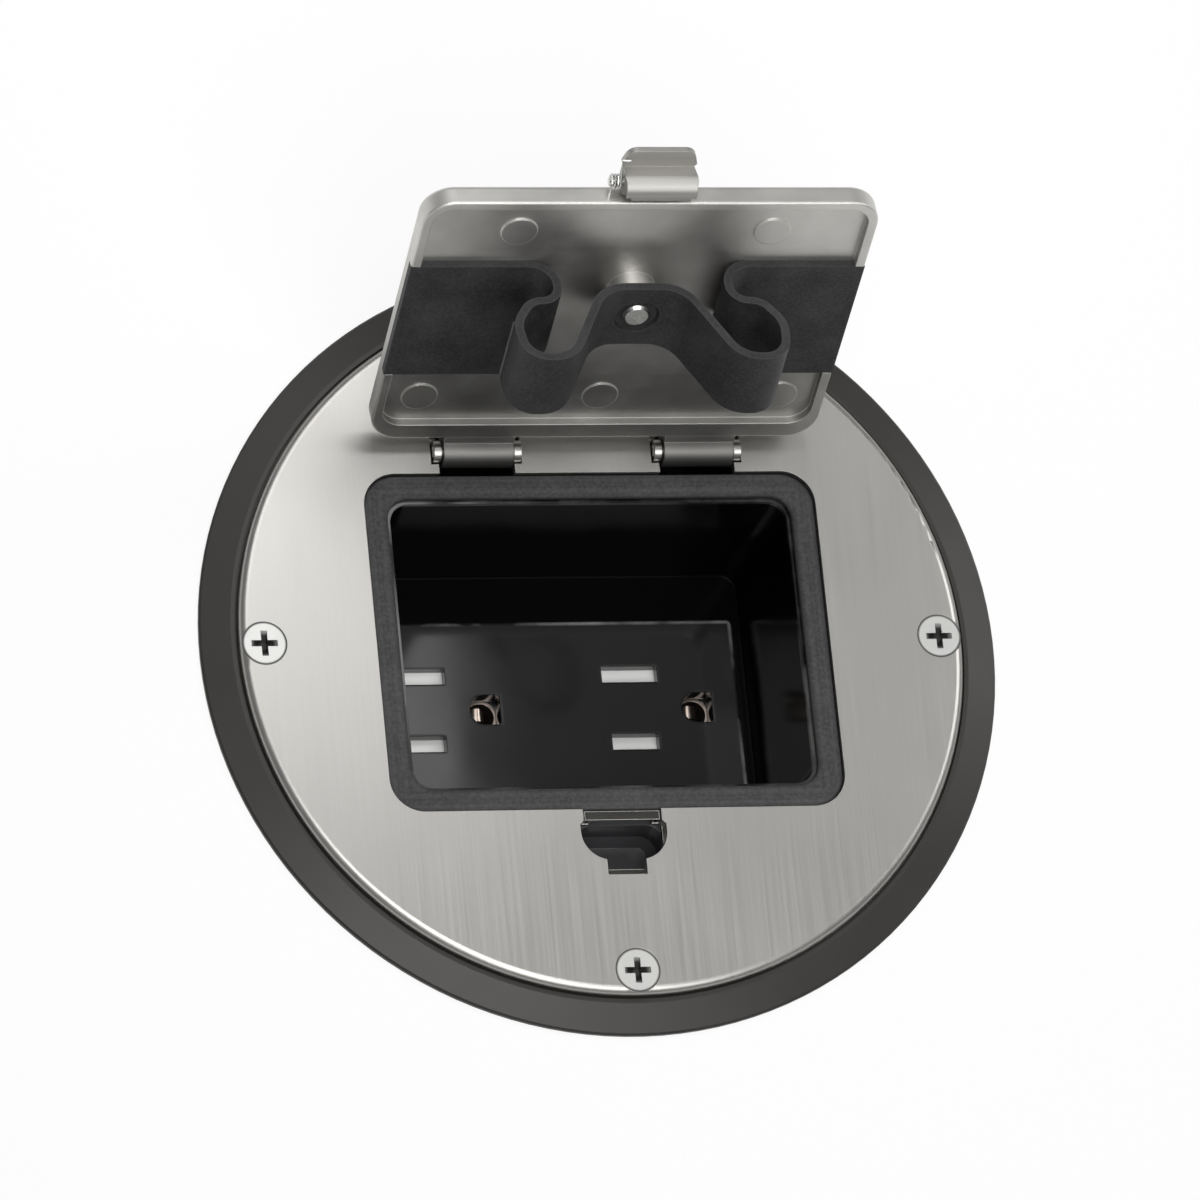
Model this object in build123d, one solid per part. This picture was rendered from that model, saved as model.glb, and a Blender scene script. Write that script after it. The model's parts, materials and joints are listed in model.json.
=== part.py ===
"""Floor socket box: an assembly of separate solids, one STEP file per piece.

Millimetres, +Z up. The origin is on the box's axis, level with the floor. +X runs along the lid's hinge and
+Y points from the latch towards the hinge. The lid and what rides on it are drawn closed, then swung open.
"""
import os
from math import cos, pi, sin
from build123d import *

# Floor ring, seal and cover plate
RING_FLANGE = 6.5
RING_EDGE_T = 1.0
RING_LIP = 1.2
RING_SHOULDER_Z = 2.5
RING_BORE_RATIO = 0.86154
RING_SHELF_Z = 1.6
RING_STEP = 0.3
SEAL_T = 0.4
SEAL_WIDTH = 7.6
PLATE_R = 65.0
PLATE_T = 2.2
PLATE_EDGE_ROUND = 1.5
PLATE_GAP = 0.4
OPENING_X_RATIO = 1.25538
OPENING_Y_RATIO = 0.96154
OPENING_CORNER_R = 6.0

# Cover screws
SCREW_INSET = 4.3
SCREW_R = 2.0
SCREW_HEAD_R = 4.0
SCREW_LENGTH = 24.0
SCREW_GAP = 0.25

# Lid, closed
LID_SIDE_GAP = 0.5
LID_END_GAP = 0.35
LID_T = 4.4
LID_DROP = 0.5
LID_CORNER_R = 5.6
LID_RIM = 1.7
LID_BACK_RIM = 3.6
LID_FIELD_DEPTH = 1.5
LID_OPEN_DEG = 109.0
MARK_R = 3.2
MARK_T = 0.3
MARK_FRONT = 8.8
MARK_BACK = 14.1
MARK_FRONT_RATIO = 0.278
MARK_BACK_RATIO = 0.402

# Hinge
HINGE_GAP_Y = 3.95
HINGE_RATIO = 0.2469
KNUCKLE_L = 12.6
KNUCKLE_R = 2.8
NECK_UNDER = 0.4
NECK_OVER = 2.25
HINGE_PIN_R = 1.2
PIN_RUN = 0.06
EAR_T = 1.3
EAR_R = 2.0
EAR_GAP = 0.25
BRACKET_T = 1.4
BRACKET_FOOT = 6.5
HINGE_NOTCH_EDGE = 3.15

# Strap under the lid
STRAP_T = 1.5
STRAP_BAND = 14.3
STRAP_PAD_RATIO = 0.45631
STRAP_PAD_X_RATIO = 0.24442
STRAP_FRONT_RATIO = 0.80421
STRAP_DRAWN_FOR = 80.6
BOSS_R = 4.2
BOSS_H = 5.2
LOOP_H = 21.0
RIVET_R = 1.8
RIVET_HEAD_R = 2.5
DISH_R = 4.3
DISH_DEPTH = 0.9

# Latch
LATCH_OUT = 2.55
LATCH_UP = 2.25
LATCH_PIN_R = 0.9
LATCH_R = 2.25
LATCH_HALF = 6.2
LUG_HALF = 4.0
LUG_R = 1.4
FLAP_L = 6.3
FLAP_T = 1.1
FLAP_TIP_HALF = 5.7
NOSE_DROP = 4.0
NOSE_FRONT = 2.9
NOSE_R = 2.6
BARB_T = 0.6
BARB_REACH = 0.85
SPRING_WIRE_R = 0.22
SPRING_TURNS = 3.077
SPRING_LEG = 4.2

# Latch notch in the plate, keeper and pocket under it
NOTCH_HALF = 7.0
NOTCH_WIDE_HALF = 7.7
NOTCH_STEP = 2.1
NOTCH_WIDE = 3.9
NOTCH_END = 9.2
SLOT_HALF = 3.5
SLOT_END = 12.0
KEEPER_T = 1.2
KEEPER_HALF = 16.0
KEEPER_END = 15.8
STRIKE_HALF = 6.7
STRIKE_T = 0.6
STRIKE_LIFT = 1.3
STRIKE_EDGE = 1.95
WINDOW_END = 10.4
POCKET_WALL = 1.5
POCKET_DEPTH = 7.5

# Gasket and recess cup
GASKET_WIDTH = 4.2
GASKET_T = 1.4
CUP_INSET_X = 4.9
CUP_INSET_Y = 4.95
CUP_CORNER_R = 3.5
CUP_WALL = 2.0
CUP_DRAFT = 1.15
CUP_FLOOR_DEPTH = 35.0
CUP_FLANGE_X_RATIO = 1.15196
CUP_FLANGE_Y_RATIO = 1.1664
CUP_FLANGE_CORNER_R = 11.2
CUP_FLANGE_T = 2.0
STUD_OUT = 2.6
STUD_Y_RATIO = 0.32
STUD_R = 1.5
STUD_L = 6.0
NUT_FLATS = 5.5
NUT_T = 2.4

# Receptacle
FACE_MARGIN = 2.5
FACE_Y = 33.3
FACE_PROUD = 1.5
FACE_H = 6.5
FACE_GAP = 0.22
OUTLET_PITCH_RATIO = 0.58234
RIGHT_SLOT_RATIO = 0.2021
GROUND_RATIO = 0.17814
SLOT_SPREAD = 6.35
LONG_SLOT_RATIO = 0.15269
SHORT_SLOT_RATIO = 0.12874
SLOT_WIDTH = 3.0
GROUND_R = 2.8
BASE_INSET = 0.9
BASE_Y = 32.6
BASE_H = 26.4
YOKE_T = 1.4
YOKE_TAIL = 11.35
YOKE_END_W = 24.0
YOKE_MIDDLE_W = 9.4
YOKE_SCREW_OUT = 5.75
YOKE_SCREW_R = 1.6
YOKE_HEAD_R = 3.2
YOKE_HEAD_T = 2.2
YOKE_BOSS_R = 3.6
YOKE_BOSS_H = 14.0
SHUTTER_T = 1.8
SHUTTER_TRAVEL = 3.4
SHUTTER_SLIDE_GAP = 0.25
CONTACT_T = 0.65
CONTACT_DROP = 18.2
FINGER_H = 14.0
BLADE_GAP = 1.3
SLEEVE_R = 3.1
SLEEVE_T = 0.6
SLEEVE_DROP = 12.0
SLEEVE_COLLAR_R = 4.2
SLEEVE_RISE = 2.4
LEAF_R = 1.4
LEAF_W = 2.4
TERMINAL_R = 1.6
TERMINAL_L = 3.6
TERMINAL_HEAD_R = 3.6
TERMINAL_HEAD_T = 2.0
BASE_RIVET_R = 1.4
BASE_RIVET_FOOT_R = 2.6
BASE_RIVET_FOOT_T = 0.8
RIVET_SPREAD = 10.0

# Box body in the floor
BOX_MARGIN = 1.0
BOX_WALL = 3.0
BOX_LIP = 1.0
BOX_DEPTH = 96.0
BOX_BOSS_R = 4.4
HUB_RATIO = 0.42424
HUB_R = 16.5
HUB_BORE_R = 13.45
HUB_L = 16.0
HUB_STOP_R = 11.5
HUB_SPIGOT_R = 14.5
PLUG_GAP = 0.05
PLUG_L = 10.0
PLUG_HEAD_T = 2.0

# Sizes, levels and places that follow
RING_R = PLATE_R + RING_FLANGE
RING_SHOULDER_R = PLATE_R + RING_LIP
RING_BORE_R = RING_BORE_RATIO * PLATE_R
BOX_R = PLATE_R + BOX_MARGIN
HUB_X = HUB_RATIO * BOX_R
SCREW_CIRCLE_R = PLATE_R - SCREW_INSET
OPENING_X = OPENING_X_RATIO * PLATE_R
OPENING_Y = OPENING_Y_RATIO * PLATE_R
LID_X = OPENING_X - 2 * LID_SIDE_GAP
LID_Y = OPENING_Y - 2 * LID_END_GAP
HINGE_X = HINGE_RATIO * LID_X
STRAP_PAD = STRAP_PAD_RATIO * LID_Y
STRAP_PAD_X = STRAP_PAD_X_RATIO * LID_X
STRAP_FRONT_V = STRAP_FRONT_RATIO * LID_Y
CUP_X = OPENING_X - 2 * CUP_INSET_X
CUP_Y = OPENING_Y - 2 * CUP_INSET_Y
CUP_FLANGE_X = CUP_FLANGE_X_RATIO * OPENING_X
CUP_FLANGE_Y = CUP_FLANGE_Y_RATIO * OPENING_Y
STUD_X = OPENING_X / 2 + STUD_OUT
STUD_Y = STUD_Y_RATIO * OPENING_Y
FACE_X = CUP_X - 2 * FACE_MARGIN
BASE_X = FACE_X - 2 * BASE_INSET
OUTLET_PITCH = OUTLET_PITCH_RATIO * FACE_X
RIGHT_SLOT_X = RIGHT_SLOT_RATIO * FACE_X
GROUND_OFFSET = GROUND_RATIO * FACE_X
LONG_SLOT = LONG_SLOT_RATIO * FACE_X
SHORT_SLOT = SHORT_SLOT_RATIO * FACE_X
YOKE_SCREW_X = CUP_X / 2 + YOKE_SCREW_OUT
YOKE_L = 2 * (YOKE_SCREW_X + YOKE_TAIL)
PLATE_BOTTOM = RING_SHELF_Z + SEAL_T
PLATE_TOP = PLATE_BOTTOM + PLATE_T
SEAL_R = PLATE_R - PLATE_GAP
LID_BOTTOM = PLATE_TOP - LID_DROP
LID_FIELD = LID_BOTTOM + LID_FIELD_DEPTH
HINGE_Y = OPENING_Y / 2 + HINGE_GAP_Y
HINGE_Z = PLATE_TOP
LATCH_Y = -LID_Y / 2 - LATCH_OUT
LATCH_Z = PLATE_TOP + LATCH_UP
FRONT_Y = -OPENING_Y / 2
CUP_TOP = PLATE_BOTTOM
CUP_FLANGE_BOTTOM = CUP_TOP - CUP_FLANGE_T
CUP_FLOOR = CUP_TOP - CUP_FLOOR_DEPTH
CUP_BOTTOM = CUP_FLOOR - CUP_WALL
FACE_TOP = CUP_FLOOR + FACE_PROUD
FACE_BOTTOM = FACE_TOP - FACE_H
YOKE_BOTTOM = FACE_BOTTOM - YOKE_T
BASE_BOTTOM = FACE_BOTTOM - BASE_H
LEFT_SLOT_X = RIGHT_SLOT_X - OUTLET_PITCH
OUTLETS = [LEFT_SLOT_X, RIGHT_SLOT_X]
RIVET_X = (LEFT_SLOT_X + GROUND_OFFSET + RIGHT_SLOT_X) / 2
STRAP_FRONT_Y = HINGE_Y - STRAP_FRONT_V
RIVET_Y = STRAP_FRONT_Y + STRAP_BAND / 2
KEEPER_BOTTOM = PLATE_BOTTOM - KEEPER_T
SHUTTER_TOP = FACE_TOP - 2.4
CONTACT_BOTTOM = FACE_BOTTOM - CONTACT_DROP
TAB_Y = BASE_Y / 2 - 3.4
BASE_ALIGN = (Align.CENTER, Align.CENTER, Align.MIN)
HANG_ALIGN = (Align.CENTER, Align.CENTER, Align.MAX)
SCREW_PLACES = PolarLocations(SCREW_CIRCLE_R, 4)
LID_SWING = Pos(0, HINGE_Y, HINGE_Z) * Rot(-LID_OPEN_DEG, 0, 0) * Pos(0, -HINGE_Y, -HINGE_Z)


def block(x_low, x_high, y_low, y_high, z_low, z_high):
    """Box between two corners."""
    middle = Pos((x_low + x_high) / 2, (y_low + y_high) / 2, (z_low + z_high) / 2)
    return middle * Box(abs(x_high - x_low), abs(y_high - y_low), abs(z_high - z_low))


def disc(radius, z_low, z_high, x=0, y=0):
    """Upright cylinder between two heights."""
    return Pos(x, y, z_low) * Cylinder(radius, z_high - z_low, align=BASE_ALIGN)


def rod(radius, x_low, x_high, y, z):
    """Cylinder along X."""
    return Pos((x_low + x_high) / 2, y, z) * Rot(0, 90, 0) * Cylinder(radius, x_high - x_low)


def slab(sketch, z_low, z_high):
    """Flat sketch raised between two heights."""
    return Pos(0, 0, z_low) * extrude(sketch, z_high - z_low)


def mirror_x(shape):
    return mirror(shape, about=Plane.YZ)


def coil_points(radius, pitch, turns, hand=1):
    """Points round a helix about Z, twelve to a turn; hand is -1 for a left-handed one."""
    count = round(12 * turns)
    angles = [2 * pi * turns * i / count for i in range(count + 1)]
    return [(radius * cos(a), hand * radius * sin(a), pitch * a / (2 * pi)) for a in angles]


def bent_wire(points, wire_r):
    """Wire of short straight lengths through the points."""
    path = Polyline(*points)
    section = Plane(origin=path @ 0, z_dir=path % 0) * RegularPolygon(wire_r, 6)
    return sweep(section, path=path, transition=Transition.RIGHT)


def cross_recess(size, depth, top):
    """Tapered cross for a driver, cut down from the given height."""
    bars = Box(size, size * 0.24, 4 * depth) + Box(size * 0.24, size, 4 * depth)
    taper = Cone(size * 0.14, size * 0.52, depth, align=HANG_ALIGN)
    return Pos(0, 0, top) * (bars & taper)


def at_screws(shape):
    return [place * shape for place in SCREW_PLACES]


def latch_outline():
    """Plan of the notch and slot that open the plate over the latch."""
    start = FRONT_Y + 1
    step = FRONT_Y - NOTCH_STEP
    wide = FRONT_Y - NOTCH_WIDE
    end = FRONT_Y - NOTCH_END
    slot = FRONT_Y - SLOT_END
    bulge_x = (NOTCH_WIDE_HALF + SLOT_HALF) / 2 + 0.75
    bulge_y = (wide + end) / 2 - 1.05
    right = Polyline((0, start), (NOTCH_HALF, start), (NOTCH_HALF, step), (NOTCH_WIDE_HALF, step - 0.7),
                     (NOTCH_WIDE_HALF, wide))
    right_arc = ThreePointArc((NOTCH_WIDE_HALF, wide), (bulge_x, bulge_y), (SLOT_HALF, end))
    foot = Polyline((SLOT_HALF, end), (SLOT_HALF, slot), (-SLOT_HALF, slot), (-SLOT_HALF, end))
    left_arc = ThreePointArc((-SLOT_HALF, end), (-bulge_x, bulge_y), (-NOTCH_WIDE_HALF, wide))
    left = Polyline((-NOTCH_WIDE_HALF, wide), (-NOTCH_WIDE_HALF, step - 0.7), (-NOTCH_HALF, step),
                    (-NOTCH_HALF, start), (0, start))
    return make_face(right + right_arc + foot + left_arc + left)


def make_box_body():
    floor = -BOX_DEPTH
    whole = disc(BOX_R, floor, 0) + disc(BOX_R - BOX_LIP, 0, RING_STEP)
    body = whole - disc(BOX_R - BOX_WALL, floor + BOX_WALL, 1)
    boss_depth = SCREW_LENGTH + 3
    boss = disc(BOX_BOSS_R, -boss_depth, RING_STEP)
    boss += Pos(BOX_BOSS_R, 0, -boss_depth) * Cone(0.5, BOX_BOSS_R, 2 * BOX_BOSS_R, align=HANG_ALIGN)
    body += [solid & whole for solid in at_screws(boss)]
    body -= at_screws(disc(SCREW_R + 0.05, -boss_depth + 1, 1))
    for x in (-HUB_X, HUB_X):
        body -= disc(HUB_SPIGOT_R, floor - 1, floor + BOX_WALL + 1, x)
    return body


def make_conduit_hubs():
    """Sockets for the conduits, cemented into the floor of the box."""
    floor = -BOX_DEPTH
    hubs = []
    for x in (-HUB_X, HUB_X):
        hub = disc(HUB_R, floor - HUB_L, floor, x) + disc(HUB_SPIGOT_R, floor, floor + BOX_WALL, x)
        hub -= disc(HUB_BORE_R, floor - HUB_L - 1, floor, x)
        hub -= disc(HUB_STOP_R, floor - 1, floor + BOX_WALL + 1, x)
        hubs.append(hub)
    return hubs


def make_conduit_plug():
    end = -BOX_DEPTH - HUB_L
    plug = disc(HUB_BORE_R - PLUG_GAP, end, end + PLUG_L, HUB_X)
    plug += disc(HUB_R, end - PLUG_HEAD_T, end, HUB_X)
    plug -= disc(HUB_BORE_R - 2.5, end + 1.5, end + PLUG_L + 1, HUB_X)
    plug -= block(HUB_X - 10, HUB_X + 10, -1, 1, end - PLUG_HEAD_T, end - PLUG_HEAD_T + 1)
    return plug


def make_trim_ring():
    shelf_r = PLATE_R + PLATE_GAP
    step_r = BOX_R + PLATE_GAP
    edge = RING_EDGE_T / 3
    outline = Polyline((RING_BORE_R, RING_STEP), (step_r, RING_STEP), (step_r, 0), (RING_R, 0),
                       (RING_R, RING_EDGE_T - edge), (RING_R - edge, RING_EDGE_T),
                       (RING_SHOULDER_R, RING_SHOULDER_Z), (shelf_r, RING_SHOULDER_Z), (shelf_r, RING_SHELF_Z),
                       (RING_BORE_R, RING_SHELF_Z), close=True)
    ring = revolve(Plane.XZ * make_face(outline), Axis.Z)
    ring -= at_screws(disc(SCREW_R + 0.4, -1, RING_SHELF_Z + 1))
    return ring


def make_plate_seal():
    seal = disc(SEAL_R, RING_SHELF_Z, PLATE_BOTTOM)
    seal -= disc(SEAL_R - SEAL_WIDTH, RING_SHELF_Z - 1, PLATE_BOTTOM + 1)
    seal -= at_screws(disc(SCREW_R + 0.5, RING_SHELF_Z - 1, PLATE_BOTTOM + 1))
    return seal


def make_cover_plate():
    plate = disc(PLATE_R, PLATE_BOTTOM, PLATE_TOP)
    plate = fillet(plate.edges().group_by(Axis.Z)[-1], PLATE_EDGE_ROUND)
    opening = RectangleRounded(OPENING_X, OPENING_Y, OPENING_CORNER_R)
    neck_half = KNUCKLE_L / 2 + 0.5
    ear_half = KNUCKLE_L / 2 + EAR_GAP + EAR_T + 0.3
    ear_front = HINGE_Y - EAR_R - 0.25
    ear_back = HINGE_Y + HINGE_NOTCH_EDGE
    for x in (-HINGE_X, HINGE_X):
        notch_y = (OPENING_Y / 2 - 1 + ear_front) / 2
        opening += Pos(x, notch_y) * Rectangle(2 * neck_half, ear_front - OPENING_Y / 2 + 1.1)
        opening += Pos(x, (ear_front + ear_back) / 2) * Rectangle(2 * ear_half, ear_back - ear_front)
    opening += latch_outline()
    plate -= slab(opening, PLATE_BOTTOM - 1, PLATE_TOP + 1)
    hole = disc(SCREW_R + SCREW_GAP, PLATE_BOTTOM - 1, PLATE_TOP + 1)
    sink = Pos(0, 0, PLATE_TOP) * Cone(SCREW_R, SCREW_HEAD_R, SCREW_HEAD_R - SCREW_R, align=HANG_ALIGN)
    plate -= at_screws(hole + sink)
    return plate


def make_cover_screws():
    head_h = SCREW_HEAD_R - SCREW_R
    screw = Pos(0, 0, PLATE_TOP) * Cone(SCREW_R, SCREW_HEAD_R, head_h, align=HANG_ALIGN)
    screw += disc(SCREW_R, PLATE_TOP - SCREW_LENGTH, PLATE_TOP - head_h)
    screw -= cross_recess(4.6, 1.7, PLATE_TOP)
    return at_screws(screw)


def make_lid_gasket():
    outer = RectangleRounded(OPENING_X - 0.2, OPENING_Y - 0.2, OPENING_CORNER_R - 0.1)
    inner = RectangleRounded(OPENING_X - 0.2 - 2 * GASKET_WIDTH, OPENING_Y - 0.2 - 2 * GASKET_WIDTH,
                             max(OPENING_CORNER_R - 2, 1))
    gasket = slab(outer - inner, PLATE_BOTTOM, PLATE_BOTTOM + GASKET_T)
    return chamfer(gasket.edges().group_by(Axis.Z)[-1], 0.35)


def make_recess_cup():
    outer = RectangleRounded(CUP_X + 2 * CUP_WALL, CUP_Y + 2 * CUP_WALL, CUP_CORNER_R + CUP_WALL)
    inner = RectangleRounded(CUP_X, CUP_Y, CUP_CORNER_R)
    down = (0, 0, -1)
    cup = Pos(0, 0, CUP_TOP) * extrude(outer, CUP_FLOOR_DEPTH + CUP_WALL, dir=down, taper=CUP_DRAFT)
    flange = RectangleRounded(CUP_FLANGE_X, CUP_FLANGE_Y, CUP_FLANGE_CORNER_R)
    cup += slab(flange, CUP_FLANGE_BOTTOM, CUP_TOP)
    for side in (-1, 1):
        boss_x = side * YOKE_SCREW_X
        cup += disc(YOKE_BOSS_R, FACE_BOTTOM, FACE_BOTTOM + YOKE_BOSS_H, boss_x)
        rib_x = side * (CUP_X / 2 + CUP_WALL / 2 - 0.4)
        cup += block(rib_x, boss_x, -2, 2, CUP_BOTTOM, FACE_BOTTOM + YOKE_BOSS_H)
        cup -= disc(YOKE_SCREW_R + 0.05, FACE_BOTTOM - 1, FACE_BOTTOM + YOKE_BOSS_H - 1.5, boss_x)
        notch_half = KNUCKLE_L / 2 + EAR_GAP + EAR_T + 0.8
        notch_x = side * HINGE_X
        cup -= block(notch_x - notch_half, notch_x + notch_half, OPENING_Y / 2 + 0.05, CUP_FLANGE_Y,
                     CUP_FLANGE_BOTTOM - 1, CUP_TOP + 1)
    cup -= Pos(0, 0, CUP_TOP) * extrude(inner, CUP_FLOOR_DEPTH, dir=down, taper=CUP_DRAFT)
    cup -= block(-KEEPER_HALF - 0.5, KEEPER_HALF + 0.5, -CUP_FLANGE_Y, FRONT_Y - 0.05,
                 CUP_FLANGE_BOTTOM - 1, CUP_TOP + 1)
    window = RectangleRounded(FACE_X + 2 * FACE_GAP, FACE_Y + 2 * FACE_GAP, 1.2)
    cup -= slab(window, CUP_BOTTOM - 1, CUP_FLOOR + 1)
    for x in (-STUD_X, STUD_X):
        for y in (-STUD_Y, STUD_Y):
            cup -= disc(STUD_R + SCREW_GAP, CUP_FLANGE_BOTTOM - 1, CUP_TOP + 1, x, y)
    return cup


def stud_places():
    return [(x, y) for x in (-STUD_X, STUD_X) for y in (-STUD_Y, STUD_Y)]


def make_cup_studs():
    return [disc(STUD_R, PLATE_BOTTOM - STUD_L, PLATE_BOTTOM, x, y) for x, y in stud_places()]


def make_cup_nuts():
    nut = RegularPolygon(NUT_FLATS / 2, 6, major_radius=False) - Circle(STUD_R + 0.05)
    nut = slab(nut, CUP_FLANGE_BOTTOM - NUT_T, CUP_FLANGE_BOTTOM)
    return [Pos(x, y) * nut for x, y in stud_places()]


def make_hinge_bracket():
    """The right bracket: a foot under the plate and two ears that stand up through its notch."""
    foot_top = PLATE_BOTTOM
    foot_bottom = foot_top - BRACKET_T
    inner = KNUCKLE_L / 2 + EAR_GAP
    outer = inner + EAR_T
    back = HINGE_Y + HINGE_NOTCH_EDGE + BRACKET_FOOT
    front = HINGE_Y - EAR_R
    bracket = block(-outer, outer, front, back, foot_bottom, foot_top)
    bracket -= block(-inner, inner, front - 1, HINGE_Y + HINGE_NOTCH_EDGE + 0.4, foot_bottom - 1, foot_top + 1)
    for side in (-1, 1):
        x_low, x_high = sorted((side * inner, side * outer))
        bracket += block(x_low, x_high, front, HINGE_Y + EAR_R, foot_bottom, HINGE_Z)
        bracket += rod(EAR_R, x_low, x_high, HINGE_Y, HINGE_Z)
    bracket -= rod(HINGE_PIN_R, -outer - 1, outer + 1, HINGE_Y, HINGE_Z)
    return Pos(HINGE_X) * bracket


def make_hinge_pin():
    half = KNUCKLE_L / 2 + EAR_GAP + EAR_T + 0.1
    pin = rod(HINGE_PIN_R, HINGE_X - half, HINGE_X + half, HINGE_Y, HINGE_Z)
    return chamfer(pin.edges().filter_by(GeomType.CIRCLE), 0.25)


def make_keeper():
    keeper = block(-KEEPER_HALF, KEEPER_HALF, FRONT_Y - KEEPER_END, FRONT_Y - 0.15, KEEPER_BOTTOM, PLATE_BOTTOM)
    strike_y = FRONT_Y - STRIKE_EDGE
    low = KEEPER_BOTTOM - 1
    keeper -= block(-NOTCH_WIDE_HALF + 0.3, NOTCH_WIDE_HALF - 0.3, FRONT_Y - WINDOW_END, strike_y - 0.1, low, PLATE_TOP)
    leg = STRIKE_HALF - 1
    keeper -= block(-leg, leg, strike_y - 1, FRONT_Y - 0.55, low, PLATE_TOP)
    strike_low = PLATE_BOTTOM + STRIKE_LIFT
    keeper += block(-STRIKE_HALF, STRIKE_HALF, strike_y, FRONT_Y - 0.35, strike_low, strike_low + STRIKE_T)
    for side in (-1, 1):
        x_low, x_high = sorted((side * leg, side * STRIKE_HALF))
        keeper += block(x_low, x_high, strike_y, FRONT_Y - 0.35, KEEPER_BOTTOM, strike_low + STRIKE_T)
        keeper -= disc(1.25, low, PLATE_TOP, side * (KEEPER_HALF - 4), FRONT_Y - 7)
    return keeper


def make_latch_pocket():
    top = KEEPER_BOTTOM
    back = FRONT_Y - STRIKE_EDGE
    flange_back = FRONT_Y - 0.15
    end = FRONT_Y - WINDOW_END
    half = NOTCH_WIDE_HALF + 0.2
    pocket = block(-KEEPER_HALF + 1, KEEPER_HALF - 1, FRONT_Y - KEEPER_END + 1, flange_back, top - POCKET_WALL, top)
    inner = Pos(0, (back + end) / 2) * RectangleRounded(2 * half, back - end, 3.2)
    outer = Pos(0, (back + end) / 2) * RectangleRounded(2 * (half + POCKET_WALL), back - end + 2 * POCKET_WALL, 4.4)
    bowl = slab(outer, top - POCKET_DEPTH - POCKET_WALL, top)
    bowl = chamfer(bowl.edges().group_by(Axis.Z)[0], 2.0)
    hollow = slab(inner, top - POCKET_DEPTH, top + 1)
    hollow = chamfer(hollow.edges().group_by(Axis.Z)[0], 1.6)
    pocket = pocket + bowl - hollow
    for x in (4 - KEEPER_HALF, KEEPER_HALF - 4):
        pocket += disc(1.2, top, PLATE_BOTTOM, x, FRONT_Y - 7)
    return pocket


def make_lid_closed():
    top = LID_BOTTOM + LID_T
    lid = slab(RectangleRounded(LID_X, LID_Y, LID_CORNER_R), LID_BOTTOM, top)
    lid = fillet(lid.edges().group_by(Axis.Z)[-1], 1.2)
    lid = fillet(lid.edges().group_by(Axis.Z)[0], 0.4)
    field_front = -LID_Y / 2 + LID_RIM
    field_back = LID_Y / 2 - LID_BACK_RIM
    field = RectangleRounded(LID_X - 2 * LID_RIM, field_back - field_front, LID_CORNER_R - LID_RIM)
    lid -= Pos(0, (field_back + field_front) / 2) * slab(field, LID_BOTTOM - 1, LID_FIELD)
    lid -= block(-LID_X, LID_X, STRAP_FRONT_Y, STRAP_FRONT_Y + STRAP_PAD, LID_BOTTOM - 1, LID_FIELD)
    lid += disc(BOSS_R, LID_FIELD - BOSS_H, LID_FIELD + 0.5, 0, RIVET_Y)
    lid -= disc(RIVET_R, LID_FIELD - BOSS_H - 1, LID_FIELD + 1, 0, RIVET_Y)
    front_mark = -LID_Y / 2 + MARK_FRONT
    back_mark = HINGE_Y - MARK_BACK
    front_x = MARK_FRONT_RATIO * LID_X
    back_x = MARK_BACK_RATIO * LID_X
    marks = [(-front_x, front_mark), (front_x, front_mark), (-back_x, back_mark), (back_x, back_mark), (0, back_mark)]
    for x, y in marks:
        lid += disc(MARK_R, LID_FIELD - MARK_T, LID_FIELD + 0.5, x, y)
    for x in (-HINGE_X, HINGE_X):
        lid += block(x - KNUCKLE_L / 2, x + KNUCKLE_L / 2, LID_Y / 2 - 0.6, HINGE_Y,
                     HINGE_Z - NECK_UNDER, HINGE_Z + NECK_OVER)
        lid += rod(KNUCKLE_R, x - KNUCKLE_L / 2, x + KNUCKLE_L / 2, HINGE_Y, HINGE_Z)
        lid -= block(x - KNUCKLE_L, x + KNUCKLE_L, HINGE_Y, HINGE_Y + 5, HINGE_Z + KNUCKLE_R, HINGE_Z + 5)
        lid -= rod(HINGE_PIN_R + PIN_RUN, x - KNUCKLE_L, x + KNUCKLE_L, HINGE_Y, HINGE_Z)
    lid += block(-LUG_HALF, LUG_HALF, LATCH_Y, -LID_Y / 2 + 1.5, LATCH_Z - LUG_R, LATCH_Z + LUG_R)
    lid += rod(LUG_R, -LUG_HALF, LUG_HALF, LATCH_Y, LATCH_Z)
    lid -= rod(LATCH_PIN_R, -LUG_HALF - 1, LUG_HALF + 1, LATCH_Y, LATCH_Z)
    return lid


def strap_half():
    """Middle line of the strap's right half: along the lid, and away from its flat."""
    top = LOOP_H
    wide = LID_X / STRAP_DRAWN_FOR
    curve = [(0, BOSS_H), (7.0, BOSS_H), (14.8, top), (22.8, top), (23.6, 0.63 * top), (20.4, 0.405 * top),
             (15.2, 0.39 * top), (15.2, 0)]
    line = [(x * wide, h) for x, h in curve] + [(LID_X / 2, 0)]
    bends = [radius * min(wide, 1) for radius in (6.6, 5.6, 4.2, 6.0, 3.6, 3.2, 4.5)]
    return line, bends


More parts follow.
